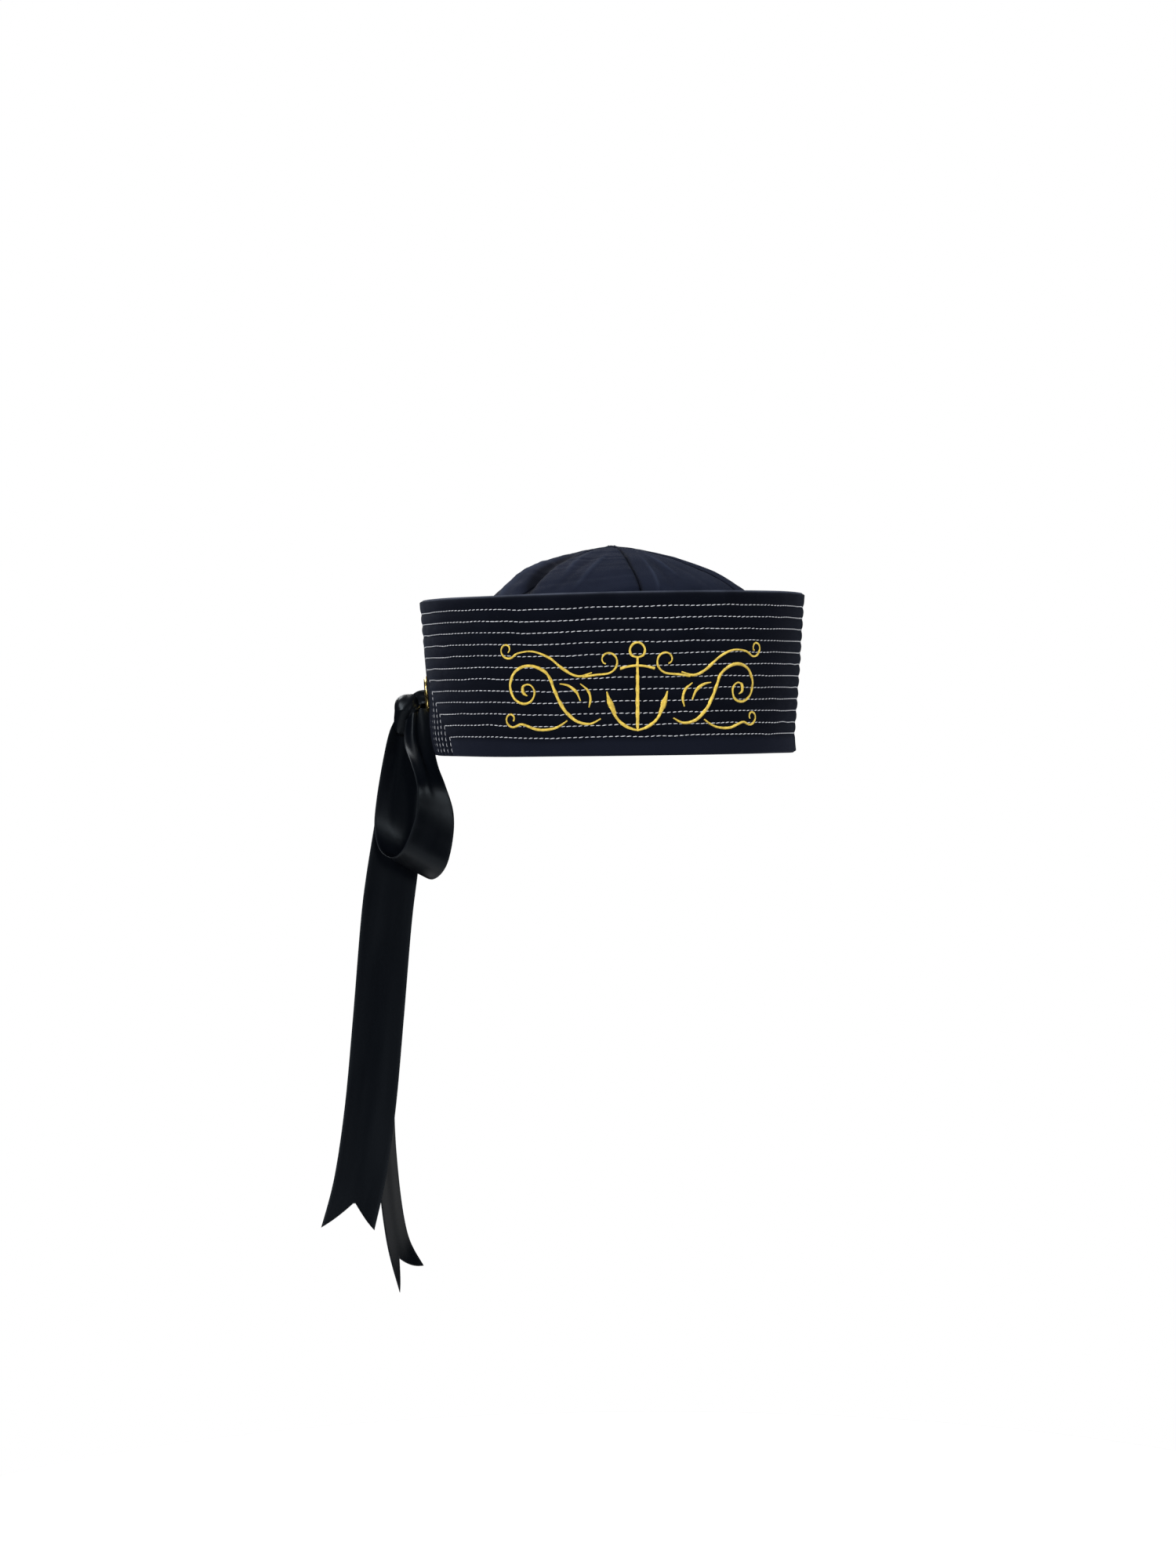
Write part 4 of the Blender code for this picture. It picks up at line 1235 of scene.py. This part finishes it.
def eyelet_profile():
    """A domed flange outside, the barrel, and an edge that is rolled over inside."""
    sag = EYELET_FLANGE**2 / (2 * BRIM_HALF_WIDTH)
    back = -BRIM_THICKNESS - EYELET_INNER_GAP - sag
    lip_reach, lip_height = EYELET_LIP
    profile = [(EYELET_BORE + lip_reach * MM, lip_height * MM)]
    dome = ((EYELET_BORE + EYELET_FLANGE) / 2, EYELET_DOME_FOOT)
    dome_radii = ((EYELET_FLANGE - EYELET_BORE) / 2, EYELET_DOME_RISE)
    profile += oval_points(dome, dome_radii, EYELET_DOME_ANGLES)
    profile.append((EYELET_BARREL + EYELET_FILLET, EYELET_FILLET_HEIGHT))
    profile.append((EYELET_BARREL, -EYELET_BARREL_INSET))
    profile.append((EYELET_BARREL, back + EYELET_BARREL_INSET))
    roll = (EYELET_FLANGE - EYELET_BORE - EYELET_ROLL_MARGIN) / 2
    roll_middle = (EYELET_BORE + roll, back - EYELET_ROLL_RISE)
    profile += oval_points(roll_middle, (roll, EYELET_ROLL_RISE), EYELET_ROLL_ANGLES)
    return np.array(profile)


def make_eyelet(side, material):
    """The profile, turned round the eyelet's middle on the brim."""
    profile = eyelet_profile()
    angle = np.linspace(0, 2 * np.pi, EYELET_SIDES, endpoint=False)[:, None]
    reach, lift = profile.T
    ring = [reach * np.cos(angle), reach * np.sin(angle), lift]
    ring = np.stack(np.broadcast_arrays(*ring), axis=-1)
    turn = EYELET_TURNS[side]
    place = brim_point(turn, EYELET_HEIGHT)
    outward = brim_outward(turn, EYELET_HEIGHT)
    along = unit(np.cross([0.0, 0.0, 1.0], outward))
    points = place + ring @ np.array([along, np.cross(outward, along), outward])
    count = len(profile)
    row, column = np.mgrid[0:EYELET_SIDES, 0:count]
    uv = np.stack([row / EYELET_SIDES, column / count], axis=-1).reshape(-1, 2)
    faces = grid_faces(EYELET_SIDES, count, closed=True)
    mesh = mesh_from_faces("eyelet_brass_" + side, points.reshape(-1, 3), faces, uv)
    return add_piece("eyelet_brass_" + side, mesh, material)


# Crown


def crown_crease(turn, place, reach):
    """How far soft creases stand out of the crown's cloth."""
    height = 0.0
    for upper_turn, upper, lower_turn, lower, width, rise in CROWN_CREASES:
        share = (upper - place) / (upper - lower)
        middle = upper_turn + (lower_turn - upper_turn) * share
        across = np.radians(turn_between(turn, middle)) * reach / (width * MM)
        rising = np.clip(CREASE_START + (1 - CREASE_START) * share, 0, 1)
        fade = np.sin(np.pi * rising) ** CREASE_FULLNESS
        height = height + rise * MM * np.exp(-(across**2)) * fade
    return height


def crown_point(turn, place):
    """A point on the crown's outer face. A place runs over the rows of its profile."""
    turn, place = np.broadcast_arrays(turn, place)
    height, reach, shift = np.moveaxis(along_rows(CROWN_PROFILE, place) * MM, -1, 0)
    above = along_rows(CROWN_PROFILE, place + PLACE_STEP)
    step = above - along_rows(CROWN_PROFILE, place - PLACE_STEP)
    outward = unit(np.stack([step[..., 0], -step[..., 1]], axis=-1))
    gore_width = 360.0 / GORE_COUNT
    seam_turn = turn_between(turn, CROWN_TURN) % gore_width
    from_seam = np.minimum(seam_turn, gore_width - seam_turn)
    dent = SEAM_DIP * bump(from_seam / SEAM_DIP_SPREAD)
    for dent_turn, spread, middle, high, depth in CROWN_DENTS:
        beside = bump(turn_between(turn, dent_turn) / spread)
        dent = dent + depth * MM * beside * bump((height / MM - middle) / high)
    around = np.radians(turn) * reach
    relief = crown_crease(turn, place, reach)
    relief = relief - SEAM_PINCH * np.exp(-np.radians(from_seam) * reach / SEAM_PINCH_WIDTH)
    along = around / WAVE_LENGTH + CROWN_NOISE_START
    relief = relief + WAVE_HEIGHT * cloth_noise(along, place * WAVE_CLIMB, "crown_wave")
    along = around / CRINKLE_LENGTH + CROWN_NOISE_START
    relief = relief + CRINKLE_HEIGHT * cloth_noise(along, place * CRINKLE_CLIMB, "crown_crinkle")
    # The crown is plain at its lower edge, behind the brim, and where its gores meet.
    fade = bump(1 - np.minimum(height / DENT_FADE_HEIGHT, 1)) * np.minimum(reach / DENT_FADE_REACH, 1)
    inward = reach + (relief * outward[..., 0] - dent) * fade
    height = height + relief * outward[..., 1] * fade
    height = height + NUB_HEIGHT * np.exp(-((reach / NUB_REACH) ** 2))
    swing = np.clip((place - SEAM_SWING_START) / SEAM_SWING_REACH, 0, 1) ** 2
    angle = np.radians(turn + SEAM_SWING * swing)
    across = inward * np.sin(angle) + shift + lean(height)
    ahead = -inward * CROWN_DEPTH_RATIO * np.cos(angle)
    return np.stack([across, ahead, height], axis=-1)


def gore_columns():
    """Each column's share of the way from the gore's middle to a seam, and its tuck into the seam."""
    share = np.linspace(-1, 1, GORE_COLUMNS)
    share = (1 - SEAM_CROWDING) * share + SEAM_CROWDING * np.sin(share * np.pi / 2)
    tuck = np.array(GORE_TUCK) * MM
    side = [1.0] * len(tuck)
    share = np.concatenate([np.negative(side), share, side])
    tuck = np.concatenate([tuck, np.zeros(GORE_COLUMNS), tuck[::-1]])
    return share, tuck


def make_gore(number, material):
    """One gore, with the seam allowance at each side turned in against its neighbour's."""
    width = 360.0 / GORE_COUNT
    middle_turn = CROWN_TURN + width * (number + 0.5)
    places = np.linspace(0, CROWN_TOP_PLACE, GORE_ROWS)[:, None]
    share, tuck = gore_columns()
    # The seam is a groove that closes inside the cloth.
    open_share = np.clip(1 - tuck / SEAM_OPEN_DEPTH, 0, 1)
    gap = SEAM_CLOSED_GAP + (SEAM_HALF_GAP - SEAM_CLOSED_GAP) * open_share
    reach = along_rows(CROWN_PROFILE, places[:, 0])[:, 1:2] * MM
    half_width = width / 2 - np.degrees(np.minimum(gap / reach, WIDEST_GAP))
    fold = SEAM_FOLD * np.clip(tuck / SEAM_FOLD_DEPTH - SEAM_FOLD_START, 0, 1)
    bend = np.degrees(np.minimum(fold / reach, WIDEST_FOLD))
    turn = middle_turn + share * half_width + bend
    points = crown_point(turn, places)
    # The allowance turns in level at the crown's side, and straight down at its top.
    level = -unit(points * [1.0, 1.0, 0.0])
    slope = (np.clip(places / LAST_PLACE, 0, 1) ** 2)[..., None]
    toward = unit(level * (1 - slope) - np.array([0.0, 0.0, 1.0]) * slope)
    points = points + toward * (tuck * np.minimum(reach / TUCK_FADE_REACH, 1))[..., None]
    around = lengths_along(points[GIRTH_ROW])
    around = (around - around.mean()) * reach / reach[GIRTH_ROW]
    climb = lengths_along(points[:, len(share) // 2])[:, None]
    uv = np.stack(np.broadcast_arrays(around + number * TWILL_STEP, climb), axis=-1)
    middle = points - grid_normals(points) * CROWN_THICKNESS / 2
    mesh = wall_mesh(f"gore_{number + 1}", middle, CROWN_THICKNESS, uv)
    ridge = crown_crease(turn, places, reach) / CREASE_UNIT
    # Ridges are paler with wear, which also paints a highlight on them.
    set_wall_attribute(mesh, "wear_and_highlight", RIDGE_WEAR_AND_HIGHLIGHT * np.clip(ridge - RIDGE_START, 0, 1))
    # Hollows and seams are darker: painted shade.
    from_seam = (1 - np.abs(share)) * np.radians(half_width) * reach + SEAM_SHADE_TUCK * tuck
    hollow = HOLLOW_SHADE * np.clip(-ridge / HOLLOW_DEPTH, 0, 1) ** HOLLOW_FALLOFF
    seam = SEAM_SHADE * np.exp(-from_seam / SEAM_SHADE_WIDTH)
    set_wall_attribute(mesh, "shade_and_plain_band", np.maximum(hollow, seam))
    return add_piece(f"gore_{number + 1}", mesh, material)


# Bow


def bow_points(points):
    """Points from the knot's middle in millimetres, in the cap's frame."""
    turn = math.radians(BOW_TURN)
    across, away, up = np.moveaxis(np.asarray(points, float) + KNOT_PLACE, -1, 0)
    x = across * math.cos(turn) - away * math.sin(turn)
    y = across * math.sin(turn) + away * math.cos(turn)
    return np.stack([x, y, up], axis=-1) * MM


def set_selvage(mesh, rows, columns):
    """Marks the woven edges of a ribbon, for its material."""
    share = np.linspace(0, 1, columns)
    edge = np.minimum(share, 1 - share) * RIBBON_WIDTH
    edge = np.exp(-((edge / SELVAGE_WIDTH) ** 2))
    edge = np.concatenate([edge, [1.0], edge[::-1], [1.0]])
    set_attribute(mesh, "selvage", np.tile(edge, rows))


def make_ribbon(name, table, notch, notch_share, material):
    """A hanging ribbon through its table's sections, with gathers where the knot holds it."""
    places = even_places(table, [0, 1, 2, 3, 4, 5], RIBBON_STEP)
    last = places[-1]
    share = np.linspace(0, 1, RIBBON_COLUMNS)
    end_length = np.linalg.norm(np.subtract(table[-1][:3], table[-2][:3]))
    cut = np.where(share < notch_share, share / notch_share, (1 - share) / (1 - notch_share))
    cut = notch / end_length * cut**NOTCH_CURVE
    place = places[:, None] * (last - cut) / last
    values = along_rows(table, place)
    left, right, gather = values[..., :3], values[..., 3:6], values[..., 6]
    points = left + (right - left) * share[:, None]
    facing = grid_normals(points)
    pleats = np.array(PLEATS[name])[:, None]
    fold = along_rows(pleats, share * (len(pleats) - 1))[:, 0]
    waver = cloth_noise(share * WAVER_ACROSS + 0 * place, place * WAVER_ALONG, "ribbon_waver")
    points = points + facing * (gather * fold + WAVER_HEIGHT * waver)[..., None]
    along = lengths_along(points[:, RIBBON_COLUMNS // 2]) * MM
    uv = np.stack(np.broadcast_arrays(along[:, None], share * RIBBON_WIDTH), axis=-1)
    mesh = wall_mesh(name + "_satin", bow_points(points), RIBBON_THICKNESS, uv)
    set_selvage(mesh, len(places), RIBBON_COLUMNS)
    return add_piece(name + "_satin", mesh, material)


def make_lacing(material):
    """The gathered ribbon through both eyelets, folded on itself where it is squeezed."""
    route = [(turn * BRIM_ARC / MM, out, height) for turn, out, height, _, _ in LACING]
    places = even_places(route, [0, 1, 2], LACING_STEP)
    turn, out, height, width, thick = along_rows(LACING, places).T
    middle = brim_point(turn, height * MM, out * MM)
    ahead = unit(np.gradient(middle, axis=0))
    sideways = unit(np.cross(ahead, [0.0, 0.0, 1.0]))
    upward = np.cross(sideways, ahead)
    share = np.linspace(0, 1, LACING_COLUMNS)
    # Three layers where the ribbon is squeezed. Wider stretches open towards one layer.
    opened = np.clip((width - LACING_SQUEEZED) / LACING_OPENING, 0, 1)[:, None]
    folded = np.cos(3 * np.pi * share)
    half_width = (width / 2 - LACING_SIDE_MARGIN)[:, None]
    spread = (folded * (1 - opened) + (1 - 2 * share) * opened) * half_width
    layer = share - 0.5 + LACING_OVERLAP * np.sin(6 * np.pi * share)
    layer = layer * (thick - LACING_LAYER_MARGIN)[:, None]
    crinkle = cloth_noise(spread, places[:, None] * LACING_CRINKLE_RATE, "lacing_crinkle")
    layer = layer + LACING_CRINKLE * crinkle
    offset = upward[:, None] * spread[..., None] + sideways[:, None] * layer[..., None]
    points = middle[:, None] + offset * MM
    along = lengths_along(middle)
    uv = np.stack(np.broadcast_arrays(along[:, None], share * RIBBON_WIDTH), axis=-1)
    mesh = wall_mesh("ribbon_lacing_satin", points, LACING_THICKNESS, uv)
    set_selvage(mesh, len(places), len(share))
    return add_piece("ribbon_lacing_satin", mesh, material)


def knot_ball():
    """A squarish ball of points, with their angles down from its top and round it."""
    fall = np.linspace(KNOT_POLE, np.pi - KNOT_POLE, KNOT_ROWS)[:, None]
    around = np.linspace(0, 2 * np.pi, KNOT_COLUMNS, endpoint=False)
    ball = [np.sin(fall) * np.cos(around), np.sin(fall) * np.sin(around), np.cos(fall)]
    ball = np.stack(np.broadcast_arrays(*ball), axis=-1)
    size = (np.abs(ball) ** KNOT_SQUARENESS).sum(-1, keepdims=True) ** (1 / KNOT_SQUARENESS)
    return ball / size * KNOT_RADII, fall, around


def closed_ball_faces(rows, columns):
    """The faces of a ball of rows, with a fan round each of the two poles that follow its points."""
    first = np.arange(columns)
    following = (first + 1) % columns
    top = np.full(columns, rows * columns)
    foot = (rows - 1) * columns
    fans = [np.stack([top, following, first, top], axis=-1)]
    fans.append(np.stack([top + 1, foot + first, foot + following, top + 1], axis=-1))
    return np.concatenate([grid_faces(rows, columns), *fans])


def make_knot(material):
    """The knot: the ribbon wrapped tight. Below its middle, the wrap runs down over the loop."""
    ball, fall, around = knot_ball()
    across, away, up = np.moveaxis(ball, -1, 0)
    low = np.clip(-up / KNOT_RADII[2], 0, 1)
    foot_across, foot_away, foot_up = KNOT_FOOT
    across = across * (1 - KNOT_NARROWING * low**0.7) + foot_across * low**0.8
    away = away * (1 - KNOT_FLATTENING * low) + foot_away * low + KNOT_TOP_LEAN * np.clip(up, 0, None)
    top = up * (KNOT_TOP_FLAT + KNOT_TOP_SLANT * across)
    up = np.where(up > 0, top, up + foot_up * low**1.5)
    points = np.stack([across, away, up], axis=-1)
    # The folds slant over the top and run straight down the wrap's lower part.
    rise = up - KNOT_FOLD_HEIGHT
    flow = across - KNOT_FOLD_SLANT * (rise + np.sqrt(rise**2 + KNOT_FOLD_BEND))
    groove = np.exp(-(((flow - KNOT_FOLD_PLACE) / KNOT_FOLD_WIDTH) ** 2))
    relief = KNOT_RIPPLE * np.sin(flow + KNOT_RIPPLE_START) - KNOT_FOLD_DEPTH * groove
    rate, fall_rate = KNOT_CRINKLE_RATES
    crinkle = cloth_noise(around * rate + 0 * fall, fall * fall_rate + 0 * around, "knot_crinkle")
    relief = relief + KNOT_CRINKLE * crinkle
    points = points + unit(points) * (relief * np.sin(fall))[..., None]
    poles = np.array([points[0].mean(0), points[-1].mean(0)])
    points = bow_points(np.concatenate([points.reshape(-1, 3), poles]))
    uv = np.stack([up, flow], axis=-1) * MM
    uv = np.concatenate([uv.reshape(-1, 2), np.zeros((2, 2))])
    faces = closed_ball_faces(KNOT_ROWS, KNOT_COLUMNS)
    mesh = mesh_from_faces("ribbon_knot_satin", points, faces, uv)
    return add_piece("ribbon_knot_satin", mesh, material)


# Picture


def make_camera():
    """The camera, turned and rolled as the photo's was."""
    turn = math.radians(VIEW_TURN)
    roll = math.radians(VIEW_ROLL)
    upward = Vector((0.0, 0.0, 1.0))
    right = Vector((math.cos(turn), math.sin(turn), 0.0))
    back = right.cross(upward)
    across = right * math.cos(roll) - upward * math.sin(roll)
    above = right * math.sin(roll) + upward * math.cos(roll)
    data = bpy.data.cameras.new("camera")
    data.sensor_width = SENSOR
    data.lens = SENSOR * VIEW_DISTANCE / VIEW_SPAN
    data.shift_y = VIEW_SHIFT
    data.clip_start = 0.05
    data.clip_end = 60.0
    camera = bpy.data.objects.new("camera", data)
    camera.matrix_world = Matrix((across, above, back)).transposed().to_4x4()
    camera.location = back * VIEW_DISTANCE + right * VIEW_SIDE + upward * VIEW_HEIGHT
    bpy.context.scene.collection.objects.link(camera)
    bpy.context.scene.camera = camera


def add_light(name, place, size, power):
    """A square softbox that faces the cap."""
    data = bpy.data.lights.new(name, "AREA")
    data.size = size
    data.energy = power
    light = bpy.data.objects.new(name, data)
    light.location = place
    aim = Vector((0.0, 0.0, 0.0)) - light.location
    light.rotation_euler = aim.to_track_quat("-Z", "Y").to_euler()
    bpy.context.scene.collection.objects.link(light)


def make_studio():
    """A pale round floor under the cap, a white surround and soft lights."""
    middle = (0.0, 0.0, FLOOR_HEIGHT - FLOOR_DEPTH / 2)
    bpy.ops.mesh.primitive_cylinder_add(
        vertices=FLOOR_SIDES, radius=FLOOR_RADIUS, depth=FLOOR_DEPTH, location=middle
    )
    floor = bpy.context.active_object
    floor.name = "floor"
    floor_paint = new_material(
        "pale_floor", Base_Color=FLOOR_GREY, Roughness=0.9, Specular_IOR_Level=0.1
    )[0]
    floor.data.materials.append(floor_paint)
    world = bpy.data.worlds.new("white_surround")
    world.use_nodes = True
    background = world.node_tree.nodes["Background"]
    background.inputs["Color"].default_value = WHITE
    background.inputs["Strength"].default_value = 1.0
    world.cycles_visibility.glossy = False
    bpy.context.scene.world = world
    bpy.context.scene.view_settings.view_transform = "Standard"
    for light in LIGHTS:
        add_light(*light)


def main():
    make_camera()
    make_studio()
    crown_twill = make_twill(
        "crown_twill",
        CROWN_NAVY_DARK,
        CROWN_NAVY_LIGHT,
        CROWN_SHEEN,
        wear_and_highlight=CROWN_WORN_AND_LIT,
        shade_and_plain_band=CROWN_SHADE,
    )
    brim_twill = make_twill(
        "brim_twill",
        BRIM_NAVY_DARK,
        BRIM_NAVY_LIGHT,
        BRIM_SHEEN,
        wear_and_highlight=BRIM_WORN_AND_LIT,
        shade_and_plain_band=BRIM_PLAIN_BAND,
    )
    satin = make_satin()
    brass = make_brass()
    pale = make_thread("pale_thread", PALE_THREAD_DARK, PALE_THREAD_LIGHT, roughness=0.6, twists=2.0)
    gold = make_thread("gold_thread", GOLD_THREAD_DARK, GOLD_THREAD_LIGHT, roughness=0.34, twists=1.0)

    brim = make_brim(brim_twill)
    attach(brim, "root")
    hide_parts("brim")

    threads = thread_tree()
    for face in ("outside", "inside"):
        stitches = make_topstitching(threads, face, pale)
        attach(stitches, "root")
    ornament = make_ornament(threads, gold)
    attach(ornament, "root")

    for side in EYELET_TURNS:
        eyelet = make_eyelet(side, brass)
        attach(eyelet, "root")
        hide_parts("eyelet_" + side)

    for number in range(GORE_COUNT):
        gore = make_gore(number, crown_twill)
        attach(gore, "root")
        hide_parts(f"crown_gore_{number + 1}")

    for name, table, length, notch, notch_share in RIBBONS:
        ribbon = make_ribbon(name, table, notch, notch_share, satin)
        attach(ribbon, "root")
        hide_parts(name)
    lacing = make_lacing(satin)
    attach(lacing, "root")
    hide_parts("ribbon_lacing")
    knot = make_knot(satin)
    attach(knot, "root")
    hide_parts("ribbon_knot")


main()
